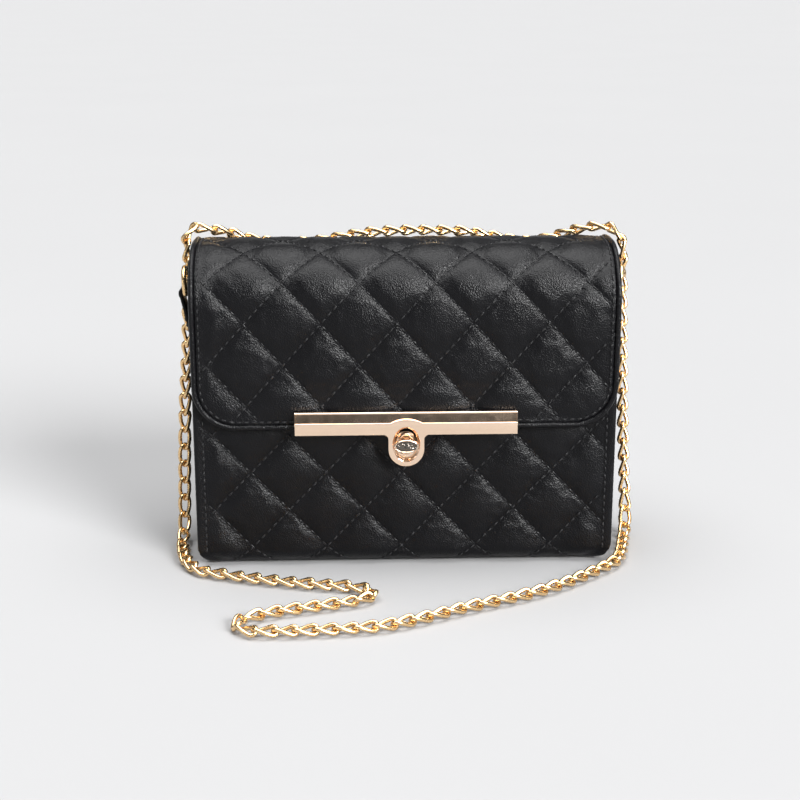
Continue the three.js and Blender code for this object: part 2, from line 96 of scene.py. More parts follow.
# ---- camera, light and floor ----
LENS, SENSOR = 67.5, 36.0
CAMERA_PLACE = (-0.0254, -0.6821, 0.2682)
CAMERA_DOWN, CAMERA_LEFT = 16, 2  # degrees from level and from straight ahead
KEY = dict(place=(0.62, -0.95, 0.72), size=(0.34, 0.34), power=2.5)
FILL = dict(place=(-0.95, -0.7, 0.5), size=(0.2, 0.3), power=1)
LIGHT_AIM = (0, 0, 0.08)
SOFTBOX = (0.54, -0.70, 0.48)  # direction of the large light at the upper right
SOFTBOX_EDGE = (14.5, 10.5)  # it comes in between these angles from its middle, in degrees
SOFTBOX_GLOW = 44.0
SKY = [(0.0, 0.6), (0.13, 0.45), (0.28, 0.15), (0.5, 0.07), (0.78, 0.02), (0.89, 6.4), (1.0, 6.4)]
FLOOR_HALF = 60.0


def add_object(name, data):
    """A new object in the scene."""
    piece = bpy.data.objects.new(name, data)
    bpy.context.scene.collection.objects.link(piece)
    return piece


def add_camera():
    data = bpy.data.cameras.new("camera")
    data.lens = LENS
    data.sensor_width = SENSOR
    camera = add_object("camera", data)
    camera.location = CAMERA_PLACE
    camera.rotation_euler = (math.radians(90 - CAMERA_DOWN), 0, math.radians(-CAMERA_LEFT))
    bpy.context.scene.camera = camera
    bpy.context.scene.view_settings.view_transform = "Standard"


def add_light(name, place, size, power):
    data = bpy.data.lights.new(name, "AREA")
    data.shape = "RECTANGLE"
    data.size, data.size_y = size
    data.energy = power
    light = add_object(name, data)
    light.location = place
    towards = Vector(LIGHT_AIM) - Vector(place)
    light.rotation_euler = towards.to_track_quat("-Z", "Y").to_euler()


def map_range(tree, source, *limits):
    """A mapped value; the limits are from min, from max, to min and to max."""
    node = tree.nodes.new("ShaderNodeMapRange")
    for key, limit in zip(("From Min", "From Max", "To Min", "To Max"), limits):
        node.inputs[key].default_value = limit
    tree.links.new(source, node.inputs["Value"])
    return node.outputs["Result"]


def add_world():
    """Pale walls near the horizon, a dark band, a broad bright ceiling and a round softbox.

    SKY gives the brightness at each height, where a height is the sine of the elevation.
    """
    world = bpy.data.worlds.new("studio")
    bpy.context.scene.world = world
    world.use_nodes = True
    tree = world.node_tree
    coords = tree.nodes.new("ShaderNodeTexCoord").outputs["Generated"]
    split = tree.nodes.new("ShaderNodeSeparateXYZ")
    ramp = tree.nodes.new("ShaderNodeValToRGB")
    tree.links.new(coords, split.inputs[0])
    tree.links.new(split.outputs["Z"], ramp.inputs[0])
    softbox = tree.nodes.new("ShaderNodeVectorMath")
    softbox.operation = "DOT_PRODUCT"
    softbox.inputs[1].default_value = Vector(SOFTBOX).normalized()
    tree.links.new(coords, softbox.inputs[0])
    edge = [math.cos(math.radians(angle)) for angle in SOFTBOX_EDGE]
    glow = map_range(tree, softbox.outputs["Value"], *edge, 0.0, SOFTBOX_GLOW)
    total = tree.nodes.new("ShaderNodeMath")
    tree.links.new(ramp.outputs["Color"], total.inputs[0])
    tree.links.new(glow, total.inputs[1])
    background = tree.nodes["Background"]
    tree.links.new(total.outputs["Value"], background.inputs["Color"])
    background.inputs["Strength"].default_value = 1.0
    elements = ramp.color_ramp.elements
    elements[0].position, elements[1].position = SKY[0][0], SKY[-1][0]
    for height, _ in SKY[1:-1]:
        elements.new(height)
    for element, (_, value) in zip(elements, SKY):
        element.color = (value, value, value, 1)


def add_floor():
    mesh = bpy.data.meshes.new("floor")
    half = FLOOR_HALF
    corners = [(-half, -half, 0), (half, -half, 0), (half, half, 0), (-half, half, 0)]
    mesh.from_pydata(corners, [], [(0, 1, 2, 3)])
    mesh.materials.append(FLOOR_PAINT)
    add_object("floor", mesh)


# ---- materials ----
NOISE, WAVE, VORONOI = "ShaderNodeTexNoise", "ShaderNodeTexWave", "ShaderNodeTexVoronoi"


def texture(tree, kind, scale, **settings):
    """A procedural texture's output, in object coordinates; scale is in repeats per metre."""
    coords = tree.nodes.new("ShaderNodeTexCoord")
    node = tree.nodes.new(kind)
    node.inputs["Scale"].default_value = scale
    for key, value in settings.items():
        if key in node.inputs:
            node.inputs[key].default_value = value
        else:
            setattr(node, key, value)
    tree.links.new(coords.outputs["Object"], node.inputs["Vector"])
    return node.outputs["Distance" if kind == VORONOI else "Fac"]


def add_material(name, roughness, colours, tone, bumps=(), depth=0.0003, gloss=None, **inputs):
    """A material made of textures, each a dict for texture().

    The base colour goes from the first to the second of colours with the tone texture, and so
    does the roughness if gloss is given, as (from, to, least, most) over the plain roughness.
    Bumps are (texture, strength), one on top of the other, and depth metres deep.
    """
    material = bpy.data.materials.new(name)
    material.use_nodes = True
    tree = material.node_tree
    shader = tree.nodes["Principled BSDF"]
    plain = {"Base Color": (*colours[0], 1), "Roughness": roughness}
    for key, value in {**plain, **inputs}.items():
        shader.inputs[key].default_value = value
    factor = texture(tree, **tone)
    mix = tree.nodes.new("ShaderNodeMix")
    mix.data_type = "RGBA"
    for key, colour in zip("AB", colours):
        mix.inputs[key].default_value = (*colour, 1)
    tree.links.new(factor, mix.inputs["Factor"])
    tree.links.new(mix.outputs["Result"], shader.inputs["Base Color"])
    if gloss:
        start, end, least, most = gloss
        varied = map_range(tree, factor, start, end, roughness + least, roughness + most)
        tree.links.new(varied, shader.inputs["Roughness"])
    target = shader
    for settings, strength in reversed(bumps):
        bump = tree.nodes.new("ShaderNodeBump")
        bump.inputs["Strength"].default_value = strength
        bump.inputs["Distance"].default_value = depth
        tree.links.new(texture(tree, **settings), bump.inputs["Height"])
        tree.links.new(bump.outputs["Normal"], target.inputs["Normal"])
        target = bump
    return material


def shades(colour, share):
    return colour, tuple(share * c for c in colour)


def leather_material(name, colour, roughness):
    """Coated leather: pebble grain, a soft low swell, and gloss that varies from patch to patch."""
    grain = [(dict(kind=NOISE, scale=210, Detail=2.0, Roughness=0.5), 0.25),
             (dict(kind=NOISE, scale=900, Detail=3.0, Roughness=0.6), 0.28),
             (dict(kind=VORONOI, scale=1800, feature="SMOOTH_F1", Smoothness=0.6), 0.5)]
    patches = dict(kind=NOISE, scale=45, Detail=4.0, Roughness=0.6)
    return add_material(name, roughness, shades(colour, 2.0), patches, grain, 0.0004,
                        (0.3, 0.7, -0.04, 0.05), **{"Specular IOR Level": 0.18})


def metal_material(name, colour, roughness, dents=()):
    """Plated metal with fine handling marks."""
    marks = dict(kind=NOISE, scale=260, Detail=5.0, Roughness=0.65)
    return add_material(name, roughness, shades(colour, 0.86), marks, [(marks, 0.04), *dents],
                        gloss=(0.35, 0.75, 0.0, 0.06), Metallic=1.0)


def cloth_material(name, colour):
    """Fine twill: two crossing sets of ribs over a soft variation of tone."""
    ribs = dict(kind=WAVE, scale=420, bands_direction="DIAGONAL", Distortion=0.6)
    cross = dict(kind=WAVE, scale=900, bands_direction="Z", Distortion=0.4)
    patches = dict(kind=NOISE, scale=60, Detail=4.0)
    return add_material(name, 0.85, shades(colour, 1.7), patches, [(ribs, 0.5), (cross, 0.25)],
                        0.0002, **{"Sheen Weight": 0.06})


PLIES = dict(kind=WAVE, scale=900, bands_direction="DIAGONAL")
FIBRES = dict(kind=NOISE, scale=500, Detail=6.0)
HAMMERED = [(dict(kind=VORONOI, scale=1100, feature="F1"), 0.9)]

LEATHER = leather_material("black_leather", (0.0012, 0.0012, 0.0016), 0.33)
EDGE_PAINT = leather_material("edge_leather", (0.0014, 0.0014, 0.0018), 0.3)
THREAD = add_material("black_thread", 0.33, shades((0.005, 0.005, 0.0055), 2.5), PLIES,
                      [(PLIES, 0.5)], 0.0002, **{"Specular IOR Level": 0.3})
LINING = cloth_material("lining_cloth", (0.009, 0.009, 0.011))
TAPE = cloth_material("zip_tape_cloth", (0.007, 0.007, 0.008))
BOARD = add_material("grey_board", 0.9, shades((0.3, 0.26, 0.21), 0.7), FIBRES, [(FIBRES, 0.4)])
ROSE_GOLD = metal_material("rose_gold", (0.97, 0.74, 0.56), 0.12)
KNOB_FACE = metal_material("knob_face", (0.17, 0.15, 0.13), 0.2, HAMMERED)
CHAIN_GOLD = metal_material("chain_gold", (0.86, 0.60, 0.31), 0.24)
STEEL = metal_material("plain_steel", (0.6, 0.6, 0.6), 0.4)
FLOOR_PAINT = add_material("floor_paint", 0.9, ((0.279, 0.279, 0.282), (0.271, 0.271, 0.274)),
                           dict(kind=NOISE, scale=3, Detail=2.0), **{"Specular IOR Level": 0.15})


# ---- making pieces ----
def make(name, vertices, faces, material, body, slot, replaces=()):
    """A mesh piece that rides on a body and stands for CAD nodes."""
    mesh = bpy.data.meshes.new(name)
    mesh.from_pydata((np.asarray(vertices) * MM).tolist(), [], [list(f) for f in faces])
    mesh.materials.append(material)
    mesh.validate()
    shape = bmesh.new()
    shape.from_mesh(mesh)
    bmesh.ops.recalc_face_normals(shape, faces=shape.faces[:])
    shape.to_mesh(mesh)
    shape.free()
    mesh.shade_smooth()
    piece = add_object(name, mesh)
    if replaces:
        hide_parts(*replaces)
    if body:
        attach(piece, body)
    return piece


def merged(parts):
    """Several (vertices, faces) as one."""
    vertices, faces, count = [], [], 0
    for points, polygons in parts:
        vertices.append(np.asarray(points, float))
        faces.extend([[i + count for i in polygon] for polygon in polygons])
        count += len(points)
    return np.vstack(vertices), faces


def copies(points, faces, places, along, across, out):
    """One small solid repeated at places, each turned to its own three directions."""
    every = (places[:, None] + along[:, None] * points[:, :1]
             + across[:, None] * points[:, 1:2] + out[:, None] * points[:, 2:])
    starts = range(0, len(points) * len(places), len(points))
    return every.reshape(-1, 3), [[i + start for i in face] for start in starts for face in faces]


def unit(vectors):
    return vectors / np.linalg.norm(vectors, axis=-1, keepdims=True)


def smoothstep(t):
    t = np.clip(t, 0, 1)
    return t * t * (3 - 2 * t)


def around(count):
    """Evenly spaced angles round a full turn."""
    return 2 * np.pi * np.arange(count) / count


def run_along(points):
    """The length of a line up to each of its points."""
    return np.concatenate([[0], np.cumsum(np.linalg.norm(np.diff(points, axis=0), axis=1))])


def sample(points, run, at):
    """Rows of points, interpolated where the run reaches the given lengths."""
    return np.stack([np.interp(at, run, column) for column in points.T], 1)


def smooth_path(points, step, closed=False):
    """Centripetal Catmull-Rom curve through the points, resampled at an even step."""
    p = np.asarray(points, float)
    p = p[np.linalg.norm(p - np.roll(p, 1, 0), axis=1) > 1e-6]
    if closed:
        p = np.vstack([p[-1], p, p[0], p[1]])
    else:
        p = np.vstack([2 * p[0] - p[1], p, 2 * p[-1] - p[-2]])
    knots = np.concatenate([[0], np.cumsum(np.sqrt(np.linalg.norm(np.diff(p, axis=0), axis=1)))])
    fine = []
    for i in range(1, len(p) - 2):
        t = np.linspace(knots[i], knots[i + 1], 24, endpoint=False)[:, None]
        t0, t1, t2, t3 = knots[i - 1:i + 3]

        def between(a, b, start, end):
            return ((end - t) * a + (t - start) * b) / (end - start)

        a = between(p[i - 1], p[i], t0, t1)
        b = between(p[i], p[i + 1], t1, t2)
        c = between(p[i + 1], p[i + 2], t2, t3)
        fine.append(between(between(a, b, t0, t2), between(b, c, t1, t3), t1, t2))
    fine = np.vstack([*fine, p[-2][None]])
    run = run_along(fine)
    count = max(2, int(round(run[-1] / step)) + 1)
    path = sample(fine, run, np.linspace(0, run[-1], count))
    return path[:-1] if closed else path


def tangents(path, closed=False):
    if closed:
        return unit(np.roll(path, -1, 0) - np.roll(path, 1, 0))
    return unit(np.gradient(path, axis=0))


def loft(rings, closed=False):
    """Faces between rings of equally many points; capped unless the rings close on themselves."""
    rings = [np.asarray(ring, float) for ring in rings]
    sides, count = len(rings[0]), len(rings)
    faces = []
    for i in range(count if closed else count - 1):
        a, b = i * sides, ((i + 1) % count) * sides
        for j in range(sides):
            k = (j + 1) % sides
            faces.append((a + j, a + k, b + k, b + j))
    if not closed:
        faces.append(tuple(range(sides))[::-1])
        faces.append(tuple((count - 1) * sides + j for j in range(sides)))
    return np.vstack(rings), faces


def sweep(path, section, up, closed=False):
    """A section of (across, out) points carried along a path; up gives the out direction."""
    along = tangents(path, closed)
    across = unit(np.cross(along, np.broadcast_to(np.asarray(up, float), path.shape)))
    out = np.cross(across, along)
    section = np.asarray(section, float)
    rings = (path[:, None] + across[:, None] * section[:, :1] + out[:, None] * section[:, 1:])
    return loft(rings, closed)


def oval_section(half_across, half_out, sides):
    turn = around(sides)
    return np.stack([half_across * np.cos(turn), half_out * np.sin(turn)], 1)


def bow(x, z, radius, start, end, steps=16):
    """Points of an arc in a plane, such as X and Z; angles in degrees."""
    turn = np.radians(np.linspace(start, end, steps))
    return [(x + radius * math.cos(t), z + radius * math.sin(t)) for t in turn]


def rounded_rectangle(half, front, back, radius, steps):
    """Outline from -half to half and from front to back, with round corners."""
    points = []
    for x, y, start in ((half - radius, front + radius, 270), (half - radius, back - radius, 0),
                        (radius - half, back - radius, 90), (radius - half, front + radius, 180)):
        points += bow(x, y, radius, start, start + 90, steps)
    return np.array(points)


# ---- stitches ----
STITCH_PITCH = 3.9
STITCH_LENGTH = 2.5
EDGE_PITCH = 3.4
EDGE_STITCH = 2.3
THREAD_RADIUS = 0.4
THREAD_LIFT = 0.16  # of a stitch's centre line over the leather
THREAD_SHAPE = [(-0.5, 0.25, -0.55), (-0.46, 0.75, -0.25), (-0.3, 1.0, 0.0), (0.0, 1.0, 0.12),
                (0.3, 1.0, 0.0), (0.46, 0.75, -0.25), (0.5, 0.25, -0.55)]  # place, width, rise


def stitches(places, along, out, length):
    """One short bowed length of thread at each place, its ends dipping into the leather."""
    rings = []
    for share, width, rise in THREAD_SHAPE:
        ring = oval_section(width * THREAD_RADIUS, width * THREAD_RADIUS, 6)
        rings.append(np.column_stack([0 * ring[:, 0] + share * length, ring[:, 0],
                                      ring[:, 1] + rise * THREAD_RADIUS * 2]))
    return copies(*loft(rings), places, along, np.cross(along, out), out)


# ---- chain ----
CHAIN_WIRE = 0.98  # radius
RING_WIRE = 1.15  # radius
LINK_HALF = 2.25  # half a link's width to the wire's centre line
LINK_REACH = 5.2  # half a link's length to the wire's centre line
LINK_PITCH = 2 * (LINK_REACH - CHAIN_WIRE)
LINK_TWIST = math.radians(52)
HOOK_HALF = 2.1  # half an end link's width to the wire's centre line
TOP_JITTER, LONG_JITTER = 5, 8  # how far links roll about their strand, in degrees
SIDE_X = 96  # from here outwards the top strand's links turn to face sideways
FLOOR_LIE = 4  # above this height the long strand's links stop lying flat

# Each route repeats the CAD strand's points, in the purse's own coordinates.
TOP_ROUTE = [
    (-101.1, 12.3, 129.5), (-101.1, 12.6, 136), (-101.1, 13.6, 142), (-100.6, 15.6, 147.6),
    (-98, 17.4, 150.8), (-90.2, 20, 150), (-81.5, 24.4, 147.6), (-69.8, 28.2, 143.4),
    (-53.4, 29.4, 141.9), (-36.9, 28.2, 143.1), (-25.2, 25.6, 145.7), (-13.6, 23.4, 147.8),
    (0, 22.4, 148.7), (15.5, 22.4, 148.7), (31, 23.4, 147.8), (41.7, 25.8, 145.5),
    (52.4, 28.6, 142.8), (64, 29.3, 142), (73.7, 27.2, 144.3), (82.5, 23.2, 148),
    (90.2, 19.6, 150.3), (98.2, 17.4, 150.2), (102.8, 15.4, 147.4), (104.8, 13.4, 142.4),
    (105.2, 12.6, 136.5), (105.2, 12.3, 129.5),
]
LONG_ROUTE = [
    (-101.1, 12.3, 128.9), (-102.4, 12, 102), (-104.6, 11, 70), (-105.8, 9, 42), (-106.4, 6.6, 20),
    (-106.4, 1.4, 7.2), (-106.2, -8, 3.2), (-104.8, -20, 3.1), (-101.8, -32.4, 3.1),
    (-95.4, -43.2, 3.1), (-80.5, -50.4, 3.1), (-61, -57, 3.1), (-43, -61.8, 3.1), (-28, -65, 3.1),
    (-20, -68.2, 3.1), (-16.6, -73.4, 3.1), (-20.2, -79.6, 3.1), (-30, -83.4, 3.1),
    (-58, -91.6, 3.1), (-68, -96.6, 3.1), (-73.2, -103, 3.1), (-69.8, -109.8, 3.1),
    (-59, -111.6, 3.1), (-16, -108.4, 3.1), (-2, -103.6, 3.1), (24, -90, 3.1), (54, -75.6, 3.1),
    (72, -63.4, 3.1), (88, -49.6, 3.1), (98.4, -38.6, 3.1), (102.6, -28, 3.1), (106, -14, 3.1),
    (108.8, -2, 4), (110, 4.6, 9), (109.9, 8.8, 22), (108.4, 10.6, 50), (106.7, 11.6, 85),
    (105.4, 12.2, 115), (105.2, 12.3, 128.9),
]


def link_template(reach, half_width, twist):
    """One curb link along X: a stadium of round wire, twisted along its length."""
    straight = 2 * (reach - half_width)
    half_lap = straight + math.pi * half_width
    run = 2 * half_lap * (np.arange(28) + 0.5) / 28
    way = np.where(run < half_lap, 1, -1)  # out along one side, back along the other
    run = run % half_lap
    turn = np.maximum(run - straight, 0) / half_width
    x = way * (straight / 2 - np.minimum(run, straight) - half_width * np.sin(turn))
    y = way * half_width * np.cos(turn)
    lean = twist * x / reach
    centre = np.stack([x, y * np.cos(lean), y * np.sin(lean)], 1)
    flat = np.stack([0 * x, -np.sin(lean), np.cos(lean)], 1)
    return sweep(centre, oval_section(CHAIN_WIRE, CHAIN_WIRE, 8), flat, closed=True)


def chain_links(path, flat, jitter):
    """Links laid end to end along a path; flat is the direction each link's face looks."""
    run = run_along(path)
    end = LINK_REACH - 2 * CHAIN_WIRE
    count = int(round((run[-1] - 2 * end) / LINK_PITCH)) + 1
    at = np.linspace(end, run[-1] - end, count)
    along = unit(sample(path, run, at + 3) - sample(path, run, at - 3))
    out = sample(flat, run, at)
    out = unit(out - along * np.sum(out * along, 1, keepdims=True))
    across = np.cross(out, along)
    roll = np.radians(RNG.uniform(-jitter, jitter, count))[:, None]
    rolled = across * np.cos(roll) + out * np.sin(roll)
    out = out * np.cos(roll) - across * np.sin(roll)
    link = link_template(LINK_REACH, LINK_HALF, LINK_TWIST)
    return copies(*link, sample(path, run, at), along, rolled, out)


def ring_box(side):
    """A D-ring's corners, and the X of its inner and outer edges."""
    low, high = cad_box("left_d_ring" if side < 0 else "right_d_ring")
    near, far = (high[0], low[0]) if side < 0 else (low[0], high[0])
    return low, high, near, far


def ring_hook(side, end):
    """The short link that holds a strand's end on the rear side of a D-ring."""
    low, high, near, far = ring_box(side)
    height = (end[2] - low[2]) / (high[2] - low[2])
    start = np.array([near + (far - near) * height, high[1] - RING_WIRE, end[2]])
    along = unit(end - start)
    start = start - along * (RING_WIRE + CHAIN_WIRE)
    reach = np.linalg.norm(end - start) / 2
    points, faces = link_template(reach, min(HOOK_HALF, reach * 0.8), 0.0)
    up = np.array([0.0, 0.0, 1.0])
    return (start + end) / 2 + points @ np.stack([along, np.cross(up, along), up]), faces


def add_chain():
    own = np.array([0.0, OWN_Y, 0.0])
    top = smooth_path(np.array(TOP_ROUTE) + own, 2.0)
    long = smooth_path(np.array(LONG_ROUTE) + own, 2.0)
    # On the body the links lie on the leather; hanging, they turn half towards the front.
    rear_centre = np.array([0, BODY_BACK - REAR_SHOULDER, SHOULDER_Z])
    shoulder = unit((top - rear_centre) * np.array([0, 1, 1]))
    side = np.stack([np.sign(top[:, 0]), 0 * top[:, 0], 0 * top[:, 0]], 1)
    wrap = smoothstep((np.abs(top[:, 0]) - SIDE_X) / 10)[:, None]
    flat_top = unit(shoulder * (1 - wrap) + side * wrap)
    hang = smoothstep((long[:, 2] - FLOOR_LIE) / 22)[:, None]
    turned = np.where(long[:, 0] > 0, 0.9, 1.2 * smoothstep((long[:, 2] - 45) / 40))
    facing = unit(np.stack([np.sign(long[:, 0]) * turned, 0 * turned - 0.9, 0 * turned], 1))
    flat_long = unit(facing * hang + np.array([0, 0, 1.0]) * (1 - hang))

    hooks = [ring_hook(s, (long[0] if s < 0 else long[-1]) + [0, 0, 0.3]) for s in (-1, 1)]
    ends = make("chain_end_links", *merged(hooks), CHAIN_GOLD, BODY, "chain_gold")
    strands = [
        ("chain_top_links", top, flat_top, TOP_JITTER, "chain_top_strand", []),
        ("chain_long_links", long, flat_long, LONG_JITTER, "chain_long_strand", [ends]),
    ]
    for name, path, flat, jitter, node, on_it in strands:
        points, faces = chain_links(path, flat, jitter)
        piece = make(name, points, faces, CHAIN_GOLD, BODY, "chain_gold", [node])
        float(round(run_along(path)[-1] * MM, 3))
        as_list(on_it)


# ---- skins: leather panels bent along a side profile ----
class Profile:
    """A side profile in Y and Z, walked by its length; normals point out of the body."""

    def __init__(self, pieces):
        points = []
        for kind, *values in pieces:
            if kind == "line":
                (y0, z0), (y1, z1) = values
                t = np.linspace(0, 1, 200)
                points.append(np.stack([y0 + (y1 - y0) * t, z0 + (z1 - z0) * t], 1))
            else:
                (y, z), radius, start, end = values
                turn = np.linspace(start, end, 200)
                points.append(np.stack([y + radius * np.cos(turn), z + radius * np.sin(turn)], 1))
        walk = np.vstack(points)
        steps = np.linalg.norm(np.diff(walk, axis=0), axis=1)
        walk = walk[np.concatenate([[True], steps > 1e-6])]
        self.run = run_along(walk)
        along = unit(np.gradient(walk, axis=0))
        self.columns = np.stack([walk[:, 0], walk[:, 1], -along[:, 1], along[:, 0]], 1)
        self.length = self.run[-1]

    def at(self, s):
        return [np.interp(s, self.run, column) for column in self.columns.T]

    def point(self, x, s, offset):
        """The place offset outwards from the profile, at x across and s along."""
        y, z, ny, nz = self.at(s)
        return np.stack(np.broadcast_arrays(x, y + offset * ny, z + offset * nz), -1)

    def normal(self, s):
        _, _, ny, nz = self.at(s)
        return np.stack([0 * ny, ny, nz], -1)


TOP_RADIUS = 120.0
FRONT_SHOULDER = 27.0
REAR_SHOULDER = 30.0
BOTTOM_RADIUS = 9.0
CROWN_Y = -8.0 + OWN_Y
CROWN_Z = FLAP_HIGH[2]
FLAP_FRONT = FLAP_LOW[1]
FLAP_BOTTOM = ROLL_LOW[2] + 0.1
BODY_BACK = BACK_HIGH[1]
BODY_FRONT = FRONT_LOW[1]
MOUTH_Z = FRONT_HIGH[2]
HALF = FRONT_HIGH[0]
SKIN_HALF = HALF - 0.2  # to the sides of the visible leather


def shoulder_z(y, radius):
    """The height of the centre of an arc that runs into the top's arc, from the centre's Y."""
    return CROWN_Z - TOP_RADIUS + math.sqrt((TOP_RADIUS - radius) ** 2 - (y - CROWN_Y) ** 2)


SHOULDER_Z = shoulder_z(BODY_BACK - REAR_SHOULDER, REAR_SHOULDER)


def shell_profile():
    """From the flap's lower edge, over the top and down the back to the base."""
    top = np.array([CROWN_Y, CROWN_Z - TOP_RADIUS])
    front_y = FLAP_FRONT + FRONT_SHOULDER
    front = np.array([front_y, shoulder_z(front_y, FRONT_SHOULDER)])
    rear = np.array([BODY_BACK - REAR_SHOULDER, SHOULDER_Z])
    front_meet = math.atan2(*(front - top)[::-1])
    rear_meet = math.atan2(*(rear - top)[::-1])
    corner = np.array([BODY_BACK - BOTTOM_RADIUS, BOTTOM_RADIUS])
    return Profile([
        ("line", (FLAP_FRONT, FLAP_BOTTOM), (FLAP_FRONT, front[1])),
        ("arc", front, FRONT_SHOULDER, math.pi, front_meet),
        ("arc", top, TOP_RADIUS, front_meet, rear_meet),
        ("arc", rear, REAR_SHOULDER, rear_meet, 0.0),
        ("line", (BODY_BACK, rear[1]), (BODY_BACK, BOTTOM_RADIUS)),
        ("arc", corner, BOTTOM_RADIUS, 0.0, -math.pi / 2),
    ])


def front_profile():
    """From under the body, up the front to the mouth."""
    corner = np.array([BODY_FRONT + BOTTOM_RADIUS, BOTTOM_RADIUS])
    return Profile([
        ("arc", corner, BOTTOM_RADIUS, 1.5 * math.pi, math.pi),
        ("line", (BODY_FRONT, BOTTOM_RADIUS), (BODY_FRONT, MOUTH_Z)),
    ])


SHELL = shell_profile()
FRONT = front_profile()
FLAP_ROWS = 600  # rows of the shell's profile up to the rear shoulder
HINGE_S = float(np.interp(HINGE[1], SHELL.columns[:FLAP_ROWS, 0], SHELL.run[:FLAP_ROWS]))

PUFF_POWER = 2.7  # how flat the top of a puff is
SEAM_DEPTH = 2.2
EDGE_SEAM_DEPTH = 1.25  # where a seam meets the border
PUCKER = 0.1
SEAM_CREASE, RIM_CREASE = 0.75, 0.6
CELLS = 14  # mesh cells along one side of a diamond
ROLL_MARGIN = 2.6  # from the flap's outer edge to the leather inside its roll
FLAP_FOOT = ROLL_MARGIN - 0.1
FLAP_CORNER = 17.4
BODY_CORNER = 16.0  # along the skin, so it starts under the body
BORDER = 4.2  # width of the sewn border on the body
SIDE_IN = 89  # beyond this X the panels are thinner


class Quilt:
    """A diamond-quilted leather panel with a sewn border, on a profile."""

    def __init__(self, profile, origin, half, distance, border, welt, inner):
        self.profile = profile
        self.x0, self.s0 = origin
        self.a, self.b = half
        self.distance = distance  # how far inside the outline a point is
        self.border = border  # width of the strip outside the border stitches, by s
        self.welt = welt  # height of that strip over the stitches
        self.inner = inner  # depth of the panel's inner face

    def spot(self, p, q):
        return self.x0 + self.a * (p + q), self.s0 + self.b * (p - q)

    def lattice(self, x, s):
        u, v = (x - self.x0) / self.a, (s - self.s0) / self.b
        return (u + v) / 2, (u - v) / 2

    def spans(self):
        """The lowest and highest count of each set of seams over the panel."""
        x = np.array([-HALF, HALF, -HALF, HALF])
        s = np.array([0, 0, self.profile.length, self.profile.length])
        return [(t.min(), t.max()) for t in self.lattice(x, s)]

    def offset(self, x, s):
        """How far the outer face lies from the profile: 0 on a crown, negative in a seam."""
        rise = 1.0
        for t in self.lattice(x, s):
            inside = 1 - 2 * np.abs(t - np.floor(t) - 0.5)
            rise = rise * (1 - (1 - inside) ** PUFF_POWER)
        border = self.border(s)
        inside = self.distance(x, s) - border
        edge = np.clip(inside / 9.0, 0, 1)
        rise = rise * (1 - (1 - edge) ** 2.4)
        depth = EDGE_SEAM_DEPTH + (SEAM_DEPTH - EDGE_SEAM_DEPTH) * smoothstep(inside / 10)
        strip = np.clip(-inside / border, 0, 1)
        swell = self.welt * np.sin(np.pi * strip * 0.72) ** 0.7
        return -depth * (1 - rise) + np.where(inside < 0, swell, 0)

    def surface(self, x, s):
        return self.profile.point(x, s, self.offset(x, s))

    def pucker(self, x, s):
        """How far the leather beside a seam rises at each stitch and dips between stitches."""
        side = math.hypot(self.a, self.b)
        inside = self.distance(x, s) - self.border(s)
        p, q = self.lattice(x, s)
        total = 0.0
        for over, along in ((p, q), (q, p)):
            gap = np.abs(over - np.round(over)) * 2 * self.a * self.b / side
            wave = np.cos(2 * np.pi * along * side / STITCH_PITCH)
            total = total - wave * np.exp(-(gap / 2.0) ** 2) * (0.35 + 0.65 * smoothstep(gap / 1.0))
        return PUCKER * total * smoothstep(inside / 2)


def corner_distance(side, end, radius):
    """Distance inside two edges that meet in a rounded corner."""
    dx, ds = radius - side, radius - end
    rounded = radius - np.hypot(np.maximum(dx, 0), np.maximum(ds, 0))
    return np.where((dx > 0) & (ds > 0), rounded, np.minimum(side, end))


def flap_distance(x, s):
    """Inside distance on the flap and back; the flap is a little wider than the body."""
    half = FLAP_HIGH[0] + (SKIN_HALF - FLAP_HIGH[0]) * smoothstep((s - HINGE_S + 9) / 9)
    side = half - np.abs(x)
    return np.minimum(corner_distance(side, s - FLAP_FOOT, FLAP_CORNER),
                      corner_distance(side, SHELL.length - s, BODY_CORNER))


def front_distance(x, s):
    side = SKIN_HALF - np.abs(x)
    return np.minimum(corner_distance(side, s, BODY_CORNER), FRONT.length - s)


def drawn_in(z):
    """How far the body's sides come in just over the floor."""
    return 4.6 * (1 - smoothstep(z / 9.5)) ** 1.3


def shell_inner(x, s):
    past = smoothstep((s - HINGE_S) / 8)  # 0 on the flap, 1 on the body
    return 2.75 + (3.4 - 2.75) * past - 1.5 * past * smoothstep((np.abs(x) - SIDE_IN) / 4)


SHELL_QUILT = Quilt(
    SHELL, (-3.9, 10.8), (17.12, 19.07), flap_distance,
    lambda s: 1.5 + 2.7 * smoothstep((s - HINGE_S + 4) / 10), 0.8, shell_inner)
FRONT_QUILT = Quilt(
    FRONT, (-1.9, 51.1), (17.27, 18.2), front_distance, lambda s: BORDER + 0 * s, 0.9,
    lambda x, s: 3.4 - 1.5 * smoothstep((np.abs(x) - SIDE_IN) / 4))


